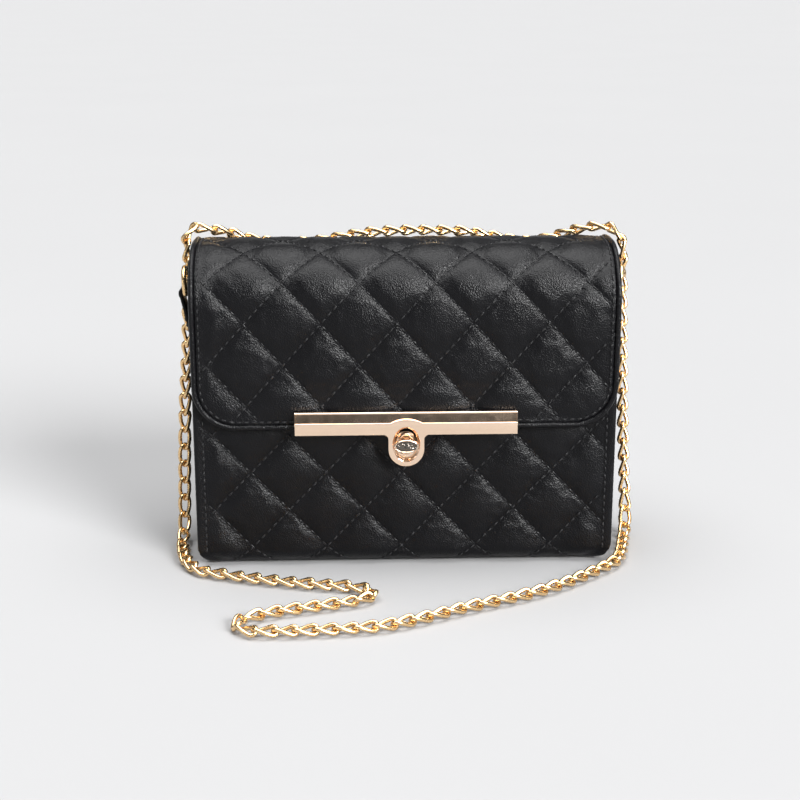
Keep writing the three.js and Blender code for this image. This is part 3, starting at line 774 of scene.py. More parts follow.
def quilt_grid(quilt):
    """Lattice cells inside the outline, with the border vertices moved onto it."""
    i, j = np.meshgrid(*(np.arange(math.floor(first * CELLS) - 1, math.ceil(last * CELLS) + 1)
                         for first, last in quilt.spans()), indexing="ij")
    x, s = quilt.spot((i + 0.5) / CELLS, (j + 0.5) / CELLS)
    kept = quilt.distance(x, s) > 0
    index, faces, edges = {}, [], {}
    for a, b in zip(i[kept], j[kept]):
        face = [index.setdefault(corner, len(index))
                for corner in ((a, b), (a, b + 1), (a + 1, b + 1), (a + 1, b))]
        faces.append(face)
        for edge in zip(face, face[1:] + face[:1]):
            edges[frozenset(edge)] = edges.get(frozenset(edge), 0) + 1
    corners = np.array(list(index))
    x, s = quilt.spot(corners[:, 0] / CELLS, corners[:, 1] / CELLS)
    rim = np.array(sorted({v for edge, uses in edges.items() if uses == 1 for v in edge}))
    for _ in range(3):
        d = quilt.distance(x[rim], s[rim])
        gx = quilt.distance(x[rim] + 0.01, s[rim]) - d
        gs = quilt.distance(x[rim], s[rim] + 0.01) - d
        norm = np.maximum(np.hypot(gx, gs), 1e-9)
        x[rim] -= d * gx / norm
        s[rim] -= d * gs / norm
    on_seam = corners % CELLS == 0
    seam_edges = set()
    for edge in edges:
        a, b = edge
        if np.any(on_seam[a] & (corners[a] == corners[b])):
            seam_edges.add(edge)
    return x, s, faces, rim, on_seam.any(axis=1), seam_edges


CLOTH = dict(quality=6, mass=0.15, tension_stiffness=25, compression_stiffness=25,
             shear_stiffness=8, bending_stiffness=0.08, air_damping=2, vertex_group_mass="pins",
             shrink_min=-0.035, use_pressure=True, uniform_pressure_force=9)
CLOTH_STEPS = 16
MAX_SLIDE = 0.4
MAX_SAG = 0.25
PUFF_SHARE = 0.6  # of the room below the crowns that a puff may fill


def inflate(name, quilt, points, s, faces, pinned):
    """Blows the leather up between its pinned seams, as cloth, and returns the new places."""
    mesh = bpy.data.meshes.new(name)
    mesh.from_pydata((points * MM).tolist(), [], faces)
    sheet = add_object(name, mesh)
    group = sheet.vertex_groups.new(name="pins")
    group.add([int(v) for v in np.nonzero(pinned)[0]], 1.0, "REPLACE")
    cloth = sheet.modifiers.new("cloth", "CLOTH")
    for key, value in CLOTH.items():
        setattr(cloth.settings, key, value)
    cloth.settings.effector_weights.gravity = 0
    cloth.collision_settings.use_collision = False
    cloth.point_cache.frame_start = 1
    cloth.point_cache.frame_end = CLOTH_STEPS + 4
    scene = bpy.context.scene
    for step in range(1, CLOTH_STEPS + 1):
        scene.frame_set(step)
    shaped = sheet.evaluated_get(bpy.context.evaluated_depsgraph_get()).data
    result = np.empty(len(points) * 3)
    shaped.vertices.foreach_get("co", result)
    scene.frame_set(1)
    bpy.data.objects.remove(sheet)
    bpy.data.meshes.remove(mesh)
    move = result.reshape(-1, 3) / MM - points
    # The leather stays under the crowns' height, and slides only a little sideways.
    out = quilt.profile.normal(s)
    up = np.sum(move * out, 1, keepdims=True)
    slide = move - up * out
    base = quilt.profile.point(points[:, 0], s, 0.0)
    room = np.maximum(-np.sum((points - base) * out, 1, keepdims=True), 0.02)
    up = np.where(up > 0, PUFF_SHARE * room * (1 - np.exp(-up / room)), np.maximum(up, -MAX_SAG))
    reach = np.linalg.norm(slide, axis=1, keepdims=True)
    return points + up * out + slide * np.minimum(0.5, MAX_SLIDE / np.maximum(reach, 1e-6))


def apply_modifiers(piece):
    shaped = piece.evaluated_get(bpy.context.evaluated_depsgraph_get())
    mesh = bpy.data.meshes.new_from_object(shaped)
    old = piece.data
    piece.modifiers.clear()
    piece.data = mesh
    bpy.data.meshes.remove(old)
    mesh.name = piece.name


def quilted_panel(name, quilt, slot, replaces):
    """The panel as a closed solid: cloth outside, smooth inside, joined round its edge."""
    x, s, faces, rim, seams, seam_edges = quilt_grid(quilt)
    points = quilt.surface(x, s)
    inside = quilt.distance(x, s) - quilt.border(s)
    points = inflate(name + "_cloth", quilt, points, s, faces, seams | (inside < 1.0))
    inner = quilt.profile.point(x, s, -quilt.inner(x, s))
    count = len(points)
    solid = faces + [[v + count for v in f[::-1]] for f in faces]
    ways = {way: 1 for face in faces for way in zip(face, face[1:] + face[:1])}
    solid += [[b, a, a + count, b + count] for a, b in ways if (b, a) not in ways]
    piece = make(name, np.vstack([points, inner]), solid, LEATHER, None, slot, replaces)
    mesh = piece.data
    creases = np.zeros(len(mesh.edges))
    rim = set(rim.tolist())
    for edge in mesh.edges:
        a, b = edge.vertices
        if frozenset((a, b)) in seam_edges:
            creases[edge.index] = SEAM_CREASE
        elif a - count in rim and b - count in rim:
            creases[edge.index] = RIM_CREASE
    for key, domain, values in (("crease_edge", "EDGE", creases),
                                ("walk", "POINT", np.concatenate([s, s])),
                                ("outer", "POINT", np.repeat([1, 0], count))):
        data = mesh.attributes.new(key, "FLOAT", domain).data
        data.foreach_set("value", values.astype(np.float32))
    modifier = piece.modifiers.new("smooth", "SUBSURF")
    modifier.levels = modifier.render_levels = 1
    apply_modifiers(piece)
    add_puckers(piece, quilt)
    return piece


def add_puckers(piece, quilt):
    """Works the stitches' pull into the outer face, from the walk that each vertex carries."""
    mesh = piece.data
    count = len(mesh.vertices)
    walk, outer, places = np.empty(count), np.empty(count), np.empty(count * 3)
    mesh.attributes["walk"].data.foreach_get("value", walk)
    mesh.attributes["outer"].data.foreach_get("value", outer)
    mesh.vertices.foreach_get("co", places)
    places = places.reshape(-1, 3)
    rise = quilt.pucker(places[:, 0] / MM, walk) * smoothstep((outer - 0.6) / 0.4)
    places += quilt.profile.normal(walk) * rise[:, None] * MM
    mesh.vertices.foreach_set("co", places.ravel())
    for name in ("walk", "outer", "crease_edge"):
        if name in mesh.attributes:
            mesh.attributes.remove(mesh.attributes[name])
    mesh.update()


def seam_stitches(quilt):
    """Stitches along both sets of quilting seams, inside the border."""
    spans = [(math.floor(first), math.ceil(last)) for first, last in quilt.spans()]
    side = math.hypot(quilt.a, quilt.b)
    rows = []
    for family in (0, 1):
        fixed, moving = spans[family], spans[1 - family]
        first, last = (math.floor(end * side / STITCH_PITCH) for end in moving)
        t = (np.arange(first, last) + 0.5) * STITCH_PITCH / side
        for line in range(fixed[0], fixed[1] + 1):
            def spot(t):
                return quilt.spot(*((line + 0 * t, t) if family == 0 else (t, line + 0 * t)))

            x, s = spot(t)
            keep = quilt.distance(x, s) > quilt.border(s) + 1.2
            here = quilt.surface(x, s)
            along = unit(quilt.surface(*spot(t + 0.02)) - here)
            rows.append((here[keep], along[keep], quilt.profile.normal(s)[keep]))
    return tuple(np.vstack(column) for column in zip(*rows))


def line_stitches(quilt, x, s):
    """Stitches along a line of (x, s) on the panel's outer face."""
    line = quilt.surface(x, s)
    run = run_along(line)
    at = np.arange(EDGE_PITCH / 2, run[-1], EDGE_PITCH)
    along = unit(sample(line, run, at + 0.3) - sample(line, run, at - 0.3))
    return sample(line, run, at), along, quilt.profile.normal(np.interp(at, run, s))


def sewn(piece, quilt, borders):
    """The quilting's and the borders' threads, each stitch laid on the piece's own surface."""
    mesh = piece.data
    tree = BVHTree.FromPolygons([v.co for v in mesh.vertices], [p.vertices for p in mesh.polygons])
    threads = []
    rows = [(seam_stitches(quilt), STITCH_LENGTH)] + [(row, EDGE_STITCH) for row in borders]
    for (places, along, out), length in rows:
        for k, (place, normal) in enumerate(zip(places.copy(), out)):
            hit = tree.ray_cast(Vector((place + 4 * normal) * MM), Vector(-normal), 9 * MM)[0]
            if hit is not None:
                places[k] = np.array(hit) / MM + THREAD_LIFT * normal
        threads.append(stitches(places, along, out, length))
    return merged(threads)


def flap_outline(inset, top):
    """Half of the flap's outline in (x, s) at an inset, from s = top down to the middle."""
    half = FLAP_HIGH[0] - inset
    foot = FLAP_FOOT + inset
    radius = FLAP_CORNER - inset
    turn = np.linspace(0, math.pi / 2, 24)[1:]
    side = np.linspace(top, foot + radius, 60)
    x = np.concatenate([0 * side + half, half - radius + radius * np.cos(turn),
                        np.linspace(half - radius, 0, 40)[1:]])
    s = np.concatenate([side, foot + radius - radius * np.sin(turn), np.zeros(39) + foot])
    return x, s


ROLL = (1.32, 1.5, 12)  # half across, half out, sides
ROLL_DEPTH = 1.6
CROWN_ROWS = 550  # rows of the shell's profile up to the crown


def bend_with_flap(piece):
    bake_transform(piece)


def add_shell():
    """Back panel, top and flap: one quilted skin that runs over the flap's crease."""
    shell = quilted_panel("quilted_shell", SHELL_QUILT, "black_leather",
                          ["flap_panel", "flap_wadding", "back_panel", "back_wadding"])
    bend_with_flap(shell)

    x, s = flap_outline(1.5, HINGE_S - 6)
    back_s = np.linspace(HINGE_S + 6, SHELL.length - 12, 120)
    borders = []
    for side in (-1, 1):
        borders.append(line_stitches(SHELL_QUILT, side * x, s))
        borders.append(line_stitches(SHELL_QUILT, side * (SKIN_HALF - BORDER) + 0 * back_s, back_s))
    threads = sewn(shell, SHELL_QUILT, borders)
    bend_with_flap(make("shell_stitches", *threads, THREAD, None, "black_leather"))


def add_front():
    """The quilted front panel under the flap."""
    front = quilted_panel("quilted_front", FRONT_QUILT, "black_leather",
                          ["front_panel", "front_wadding"])
    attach(front, BODY)
    s = np.linspace(12, FRONT.length - 5, 120)
    x = np.linspace(-HALF + 6, HALF - 6, 120)
    borders = [line_stitches(FRONT_QUILT, x, 0 * x + FRONT.length - BORDER)]
    for side in (-1, 1):
        borders.append(line_stitches(FRONT_QUILT, side * (SKIN_HALF - BORDER) + 0 * s, s))
    make("front_stitches", *sewn(front, FRONT_QUILT, borders), THREAD, BODY, "black_leather")


def add_edge_roll():
    """The turned edge round the flap."""
    radius = (ROLL_HIGH[0] - FLAP_HIGH[0]) / 2
    half_x, half_s = flap_outline(0.15 - radius, HINGE_S - 1)
    x = np.concatenate([half_x, -half_x[::-1][1:]])
    s = np.concatenate([half_s, half_s[::-1][1:]])
    path = smooth_path(SHELL.point(x, s, -ROLL_DEPTH)[::2], 1.2)
    rising = np.argsort(SHELL.columns[:CROWN_ROWS, 1])
    walk = np.interp(path[:, 2], SHELL.columns[rising, 1], SHELL.run[rising])
    roll = make("flap_edge", *sweep(path, oval_section(*ROLL), SHELL.normal(walk)),
                EDGE_PAINT, None, "black_leather", ["flap_edge_roll"])
    bend_with_flap(roll)


# ---- solids for hardware and trim ----
def sharpened(piece, degrees=35):
    """Keeps edges crisp where faces meet at more than the angle."""
    piece.data.set_sharp_from_angle(angle=math.radians(degrees))


def oval(half_x, half_z, y, z):
    """A ring of points round the Y direction."""
    turn = around(56)
    return np.stack([half_x * np.cos(turn), 0 * turn + y, z + half_z * np.sin(turn)], 1)


def oval_stack(rings, z, closed=False):
    """A solid of ovals (half_x, half_z, y), listed from the back to the front."""
    return loft([oval(a, b, y, z) for a, b, y in rings], closed)


def inset_stack(half_x, half_z, rings, z, closed=False):
    """A solid of ovals given as (inset, y) from the half sizes."""
    return oval_stack([(half_x - inset, half_z - inset, y) for inset, y in rings], z, closed)


def taken(shape):
    """A bmesh as (vertices, faces); the bmesh is freed."""
    shape.verts.index_update()
    vertices = np.array([v.co[:] for v in shape.verts])
    faces = [[v.index for v in f.verts] for f in shape.faces]
    shape.free()
    return vertices, faces


def slab(low, high, radius, segments=3):
    """A box with all its edges rounded."""
    low, high = np.asarray(low, float), np.asarray(high, float)
    shape = bmesh.new()
    bmesh.ops.create_cube(shape, size=1.0)
    for vertex in shape.verts:
        vertex.co = Vector((low + high) / 2 + np.array(vertex.co) * (high - low))
    bmesh.ops.bevel(shape, geom=shape.edges[:] + shape.verts[:], offset=radius, segments=segments,
                    profile=0.5, affect="EDGES")
    return taken(shape)


def cut_plate(outlines, front, back, bevel):
    """A plate facing -Y from outlines in X and Z; the first is its rim and the rest are holes."""
    data = bpy.data.curves.new("plate", "CURVE")
    data.dimensions = "2D"
    data.fill_mode = "BOTH"
    data.extrude = (back - front) / 2 - bevel
    data.bevel_depth = bevel
    data.bevel_resolution = 2
    data.offset = -bevel
    for outline in outlines:
        spline = data.splines.new("POLY")
        spline.points.add(len(outline) - 1)
        spline.use_cyclic_u = True
        for point, (x, z) in zip(spline.points, outline):
            point.co = (x, z, 0, 1)
    holder = add_object("plate", data)
    mesh = bpy.data.meshes.new_from_object(
        holder.evaluated_get(bpy.context.evaluated_depsgraph_get()))
    shape = bmesh.new()
    shape.from_mesh(mesh)
    bmesh.ops.remove_doubles(shape, verts=shape.verts, dist=1e-4)
    flat, faces = taken(shape)
    bpy.data.objects.remove(holder)
    bpy.data.curves.remove(data)
    bpy.data.meshes.remove(mesh)
    return np.stack([flat[:, 0], (front + back) / 2 - flat[:, 2], flat[:, 1]], 1), faces


def noise_at(points, seed):
    """Smooth repeatable noise between -1 and 1 at each point."""
    return np.array([noise.noise(Vector(p) + Vector((seed * 7.3, seed * 3.1, 0))) for p in points])


# ---- lock bar and turn lock ----
LOCK_Z = joint_place("knob_turn")[2]
BAR_EDGE = BAR_LOW[2] + 20.5  # between the upright strip and the slope
BAR_FOOT = BAR_LOW[2] + 14.9
TONGUE_HALF = 8.1
TONGUE_FILLET = 2.3
ARCH, ARCH_HALF = 16.0, 7.2  # radius and half width of the arch over the eye
EYE = (6.1, 8.2)
SLOPE = (0.62, 0.085)  # how far the hollow slope falls back, straight and curved
STUD_X, STUD_RADIUS = 40, 1.2


def tongue_outline():
    """The upright face: a straight strip, a hanging tongue with hollow corners, a low arch."""
    half, fillet, end = TONGUE_HALF, TONGUE_FILLET, BAR_HIGH[0] - 0.1
    rise = math.degrees(math.asin(ARCH_HALF / ARCH))
    arch_z = BAR_EDGE - ARCH * math.cos(math.radians(rise))
    points = [(-end, BAR_FOOT), (-half - fillet, BAR_FOOT)]
    points += bow(-half - fillet, BAR_FOOT - fillet, fillet, 90, 0, 8)
    points += bow(0, BAR_LOW[2] + half, half, 180, 360, 28)
    points += bow(half + fillet, BAR_FOOT - fillet, fillet, 180, 90, 8)
    points += [(end, BAR_FOOT), (end, BAR_EDGE)]
    points += bow(0, arch_z, ARCH, 90 - rise, 90 + rise, 14)
    return points + [(-end, BAR_EDGE)]


def add_lock_bar():
    """Cast bar: upright strip with tongue, sloping face, thin raised rims, eye lining and studs."""
    front, back, top, end = BAR_LOW[1], BAR_HIGH[1], BAR_HIGH[2], BAR_HIGH[0]
    bed = back - 2.8  # the bar's back face, against the flap
    eye_top = LOCK_Z + EYE[1] + 0.4
    eye = [(EYE[0] * math.cos(t), LOCK_Z + EYE[1] * math.sin(t)) for t in around(48)]

    def section(x, rim):
        """The side profile over the eye; the rims at the bar's ends stand a little proud of it."""
        proud = 0.28 * rim
        rise = top - 0.8 - BAR_EDGE
        corners = [(bed, eye_top), (front + 0.5, eye_top)]
        for t in np.linspace(0, 1, 7):
            fall = rise * (SLOPE[0] * t - SLOPE[1] * t * t)
            corners.append((front + 0.35 + fall - proud, BAR_EDGE - 0.1 + rise * t + 0.5 * proud))
        corners += [(front + 2.0, top - 0.72), (front + 1.98, top - 0.18), (front + 2.15, top),
                    (bed, top)]
        return [(x, y, z) for y, z in corners]

    stations = [(end, 0.7), (end - 0.12, 1), (end - 0.55, 1), (end - 0.75, 0)]
    stations = [(-x, rim) for x, rim in stations] + stations[::-1]
    parts = [cut_plate([tongue_outline(), eye], front, front + 2.0, 0.22),
             loft([section(x, rim) for x, rim in stations])]
    for x0, x1 in ((-end + 0.3, -EYE[0] - 0.5), (EYE[0] + 0.5, end - 0.3)):
        parts.append(slab((x0, front + 0.5, BAR_FOOT + 0.3), (x1, bed, eye_top + 0.3), 0.2, 1))
    lip = [(0.9, bed - 0.2), (0.5, bed - 0.2), (-0.05, front + 1.4), (-0.05, front + 0.3),
           (0.08, front + 0.12), (0.25, front + 0.22), (1.0, front + 1.15), (1.05, front + 1.5)]
    parts.append(inset_stack(*EYE, lip, LOCK_Z, closed=True))
    for side in (-1, 1):
        rings = [(STUD_RADIUS, STUD_RADIUS, back), (STUD_RADIUS, STUD_RADIUS, bed - 0.3)]
        points, faces = oval_stack(rings, top - 2.3)
        parts.append((points + [side * STUD_X, 0, 0], faces))
    bar = make("lock_bar_casting", *merged(parts), ROSE_GOLD, FLAP, "lock_gold", ["lock_bar"])
    sharpened(bar, 28)
    low, high = cad_box("bar_back_plate")
    skin = FLAP_LOW[1] + 2.5  # in the leather, below its seams
    backing = slab((low[0], skin, low[2]), (high[0], skin + 0.4, high[2]), 0.15, 1)
    make("bar_backing", *backing, STEEL, FLAP, "plain_steel", ["bar_back_plate"])


def add_turn_lock():
    """Foot plate, post with a raised rim, and the turning knob with its hammered face."""
    low, high = cad_box("lock_foot_plate")
    front = low[1]
    foot = inset_stack(high[0], (high[2] - low[2]) / 2,
                       [(0, high[1]), (0, front + 0.3), (0.1, front + 0.1), (0.4, front)],
                       (low[2] + high[2]) / 2)
    sharpened(make("lock_foot", *foot, ROSE_GOLD, BODY, "lock_gold", ["lock_foot_plate"]))

    low, high = cad_box("lock_post")
    front, back = low[1], high[1]
    post = oval_stack([(3.2, 3.7, back), (3.4, 5.2, front + 0.4), (3.3, 5.1, front + 0.12),
                       (3.1, 4.9, front), (2.75, 4.55, front + 0.05), (2.6, 4.4, front + 0.3),
                       (2.5, 4.3, front + 0.9), (1.0, 2.0, front + 1.0)], LOCK_Z)
    sharpened(make("lock_boss", *post, ROSE_GOLD, BODY, "lock_gold", ["lock_post"]), 50)

    low, high = cad_box("turn_knob")
    front, back = low[1], high[1]
    a, b = high[0], (high[2] - low[2]) / 2
    grip = oval_stack([
        (2.9, 2.9, back), (3.15, 3.15, back - 0.2), (3.2, 3.2, back - 0.7), (3.0, 3.0, back - 0.9),
        (1.6, 1.6, back - 0.95), (1.6, 1.6, front + 3.0), (a - 0.7, b - 0.6, front + 2.85),
        (a - 0.15, b - 0.15, front + 2.4), (a, b, front + 1.6), (a - 0.08, b - 0.08, front + 0.5),
        (a - 0.25, b - 0.25, front + 0.15), (a - 0.5, b - 0.5, front + 0.02),
        (a - 0.7, b - 0.68, front + 0.12), (a - 0.8, b - 0.78, front + 0.4),
        (1.0, 0.6, front + 0.6)], LOCK_Z)
    make("turn_knob_grip", *grip, ROSE_GOLD, "lock_knob", "lock_gold", ["turn_knob"])
    rings = []
    for share in (1.0, 0.97, 0.86, 0.72, 0.58, 0.44, 0.3, 0.16):
        ring = oval((a - 0.78) * share, (b - 0.76) * share, front + 0.2, LOCK_Z)
        dents = noise_at(ring * 0.9, 3) * 0.3 + noise_at(ring * 2.3, 5) * 0.14
        ring[:, 1] += 0.45 if share == 1.0 else dents - 0.04 * (1 - share)
        rings.append(ring)
    sharpened(make("turn_knob_face", *loft(rings), KNOB_FACE, "lock_knob", "lock_gold"), 60)


# ---- base, gussets and mouth ----
GUSSET_WEB = 2.2  # from the gusset's inner face to its web
GUSSET_RIM = 2.6  # width of its turned edge
GUSSET_MIDDLE = np.array([8.0, 70.0])  # Y and Z
GUSSET_DEPTH, COVER_DEPTH = 2.1, 4.2  # inside the body's profile, and under the flap
BINDING = (2.15, 1.25, 14)  # half across, half out, sides


def add_base():
    """The boarded base: leather with turned edges."""
    low, high = cad_box("base_panel")
    rings = []
    for inset, z in ((3.0, 0.1), (0.8, 0.0), (0.2, 0.3), (0.0, 0.9), (0.2, 1.5), (0.8, 1.8),
                     (3.0, 1.8)):
        ring = rounded_rectangle(high[0] - inset - drawn_in(z), low[1] + 0.1 + inset,
                                 high[1] - 0.1 - inset, 4.0, 7)
        rings.append(np.column_stack([ring, 0 * ring[:, 0] + z]))
    make("base_leather", *loft(rings), LEATHER, BODY, "black_leather", ["base_panel"])


def gusset_outline(inset):
    """The gusset's outline in Y and Z, from under the front, over the top, to the back's foot."""
    side, cover = GUSSET_DEPTH + inset, COVER_DEPTH + inset
    front = FRONT.point(0, np.linspace(0, FRONT.length, 60), -side)[:, 1:]
    s = np.linspace(HINGE_S - 110, SHELL.length, 400)
    depth = cover + (side - cover) * smoothstep((s - HINGE_S) / 6)
    rest = SHELL.point(0, s, -depth)[:, 1:]
    rest = rest[(s > HINGE_S - 70) & (rest[:, 0] > BODY_FRONT + side)]
    ear_z = rest[0, 1]
    front = front[front[:, 1] < ear_z - 1]
    line = np.vstack([front, [[BODY_FRONT + side, ear_z]], rest])
    run = run_along(line)
    return sample(line, run, np.linspace(0, run[-1], 220))


def add_gussets():
    """Stiff end walls with an edge turned outwards, their webs slightly bowed and puckered."""
    low, high = cad_box("right_gusset")
    inner, outer, web = low[0], high[0], low[0] + GUSSET_WEB
    steps = [(0.0, inner + 0.3), (0.0, outer - 0.25), (0.12, outer - 0.05), (0.4, outer),
             (1.3, outer), (1.5, outer - 0.1), (1.6, outer - 0.4), (1.6, web + 0.9),
             (1.9, web + 0.3), (GUSSET_RIM, web)]

    def flat_ring(line, share):
        flat = GUSSET_MIDDLE + (line - GUSSET_MIDDLE) * share
        return np.column_stack([0 * flat[:, 0], flat])

    for name, side in (("left_gusset", -1), ("right_gusset", 1)):
        rings = []
        for share in (0.08, 0.5, 0.9, 0.99):  # the inner face
            rings.append(flat_ring(gusset_outline(0.0), share) + [side * (inner + 0.05), 0, 0])
        for inset, x in steps:
            rings.append(flat_ring(gusset_outline(inset), 1.0) + [side * x, 0, 0])
        for share in (0.96, 0.9, 0.8, 0.65, 0.5, 0.35, 0.2, 0.08):  # the web
            ring = flat_ring(gusset_outline(GUSSET_RIM), share)
            ripple = 0.35 * noise_at(ring * 0.06, 2 + side) * (1 - share ** 8)
            ring[:, 0] = side * (web + 0.45 * (1 - share ** 2) + ripple)
            rings.append(ring)
        points, faces = loft(rings)
        room = (np.abs(points[:, 0]) - inner) / (outer - inner)
        points[:, 0] -= side * room * drawn_in(points[:, 2])
        make(name + "_leather", points, faces, LEATHER, BODY, "black_leather", [name])


def add_mouth_binding():
    """A folded strip over the front panel's top edge."""
    x = np.linspace(-HALF + 0.3, HALF - 0.3, 160)
    path = np.stack([x, 0 * x + (BODY_FRONT + 2.1), 0 * x + (MOUTH_Z - 0.75)], 1)
    points, faces = sweep(path, oval_section(*BINDING), (0, 0, 1))
    make("mouth_binding", points, faces, EDGE_PAINT, BODY, "black_leather")


# ---- ring tabs and rings ----
TAB_FOLD = 2.6  # centre line of the fold round the ring's bar
TAB_SKIN = 1.7
TAB_PITCH = 2.9
RING_CORNER = 1.8


def add_ring_tab(side, name):
    """A doubled strap, folded round the ring's bar and sewn to the gusset."""
    low, high = cad_box(name)
    ring_low, _, near, _ = ring_box(side)
    x, z = abs(near + side * RING_WIRE), ring_low[2] + RING_WIRE
    root_x = (low[0] if side > 0 else -high[0]) + TAB_SKIN
    gap = TAB_SKIN / 2 + 0.02
    spine = smooth_path([(root_x, 0, low[2] + 0.6), (root_x, 0, 74), (root_x, 0, 86),
                         (root_x + 1.0, 0, 97), (x - 0.7, 0, z - 10), (x, 0, z - 4)], 1.5)
    along = tangents(spine)
    sideways = np.stack([along[:, 2], 0 * along[:, 0], -along[:, 0]], 1)
    spread = gap + (TAB_FOLD - gap) * smoothstep((spine[:, 2] - (z - 8)) / 5.5)[:, None] * 0.55
    outer, inner = spine + sideways * spread, spine - sideways * spread
    turn = np.radians(np.linspace(-38, 218, 40))
    fold = np.stack([x + TAB_FOLD * np.cos(turn), 0 * turn, z + TAB_FOLD * np.sin(turn)], 1)
    path = smooth_path(np.vstack([outer[:-1:2], fold[::3], inner[:-1:2][::-1]]), 0.9)
    path = path * [side, 1, 1] + [0, OWN_Y, 0]
    half, thick = (high[1] - low[1]) / 2, TAB_SKIN / 2
    out = np.cross(tangents(path), np.array([0.0, -side, 0.0]))
    points, faces = sweep(path, rounded_rectangle(half, -thick, thick, 0.5, 4), out)
    sharpened(make(name + "_strap", points, faces, EDGE_PAINT, BODY, "black_leather", [name]), 70)

    face = smooth_path(outer[(outer[:, 2] < z - 9)], 1.0) * [side, 1, 1] + [0, OWN_Y, 0]
    index = np.arange(len(face))
    at = np.arange(2, len(face) - 1, TAB_PITCH)
    places = sample(face, index, at)
    step = unit(sample(face, index, at + 0.5) - places)
    tilt = unit(np.cross(step, np.array([0, 1.0, 0])))
    tilt = tilt * side * np.sign(tilt[:, :1])
    rows = [stitches(places + tilt * (thick + 0.12) + [0, y, 0], step, tilt, EDGE_STITCH)
            for y in (-half + 1.3, half - 1.3)]
    make(name + "_stitches", *merged(rows), THREAD, BODY, "black_leather")


def add_ring(side, name, body):
    """A cast D-ring: a straight bar through the tab and a round bow, leaning outwards."""
    low, high, near, _ = ring_box(side)
    half = (high[1] - low[1]) / 2 - RING_WIRE
    across, tall = high[0] - low[0] - 2 * RING_WIRE, high[2] - low[2] - 2 * RING_WIRE
    lean = math.atan2(across, tall)
    upright, corner = math.hypot(across, tall) - half, RING_CORNER
    line = [(-half + corner, 0), (0, 0), (half - corner, 0)]
    line += bow(half - corner, corner, corner, -90, 0, 6)
    line += bow(0, upright, half, 0, 180, 30)
    line += bow(-half + corner, corner, corner, 180, 270, 6)[:-1]
    line = np.array(line)
    path = np.stack([near + side * (RING_WIRE + line[:, 1] * math.sin(lean)), OWN_Y + line[:, 0],
                     low[2] + RING_WIRE + line[:, 1] * math.cos(lean)], 1)
    path = smooth_path(path, 0.6, closed=True)
    plane = np.array([side * math.cos(lean), 0, -math.sin(lean)])
    points, faces = sweep(path, oval_section(RING_WIRE, RING_WIRE, 14), plane, closed=True)
    make(name + "_cast", points, faces, CHAIN_GOLD, body, "chain_gold", [name])


# ---- lining, pocket and zip ----
LINING_CORNER = 5.0
CLOTH_THICKNESS = 0.5


def add_flap_lining():
    """Twill under the flap that runs over the crease into the body."""
    rows, columns = 90, 60
    s, x = np.meshgrid(np.linspace(ROLL_MARGIN + 0.6, HINGE_S + 9, rows),
                       np.linspace(-1, 1, columns), indexing="ij")
    near = np.clip((s - ROLL_MARGIN - 0.3) / FLAP_CORNER, 0, 1)
    half = FLAP_HIGH[0] - 0.6 - FLAP_CORNER * (1 - np.sqrt(1 - (1 - near) ** 2))
    half = half - 3.9 * smoothstep((s - HINGE_S + 6) / 8)
    depth = 3.0 + 0.75 * smoothstep((s - HINGE_S + 1) / 8)
    depth = depth + 0.12 * np.sin(x * 9 + s * 0.05) * np.sin(s * 0.12)
    sheet = [SHELL.point(x * half, s, -(depth + extra)).reshape(-1, 3) for extra in (0.0, 0.45)]
    count = rows * columns
    faces = []
    for i in range(rows - 1):
        for j in range(columns - 1):
            a = i * columns + j
            face = (a, a + 1, a + columns + 1, a + columns)
            faces += [face, tuple(v + count for v in face[::-1])]
    index = np.arange(count).reshape(rows, columns)
    rim = [index[0], index[1:, -1], index[-1, -2::-1], index[-2:0:-1, 0]]
    rim = np.concatenate(rim).tolist()
    for a, b in zip(rim, rim[1:] + rim[:1]):
        faces.append((b, a, a + count, b + count))
    lining = make("flap_lining_cloth", np.vstack(sheet), faces, LINING, None, "lining_cloth",
                  ["flap_lining"])
    bend_with_flap(lining)


def lining_back(z, wall):
    """The lining's back: an upright wall, then forwards under the crease."""
    reach = REAR_SHOULDER - 4.9
    rise = np.clip((z - SHOULDER_Z) / reach, 0, 0.985)
    return np.minimum(wall, BODY_BACK - REAR_SHOULDER + reach * np.sqrt(1 - rise ** 2))


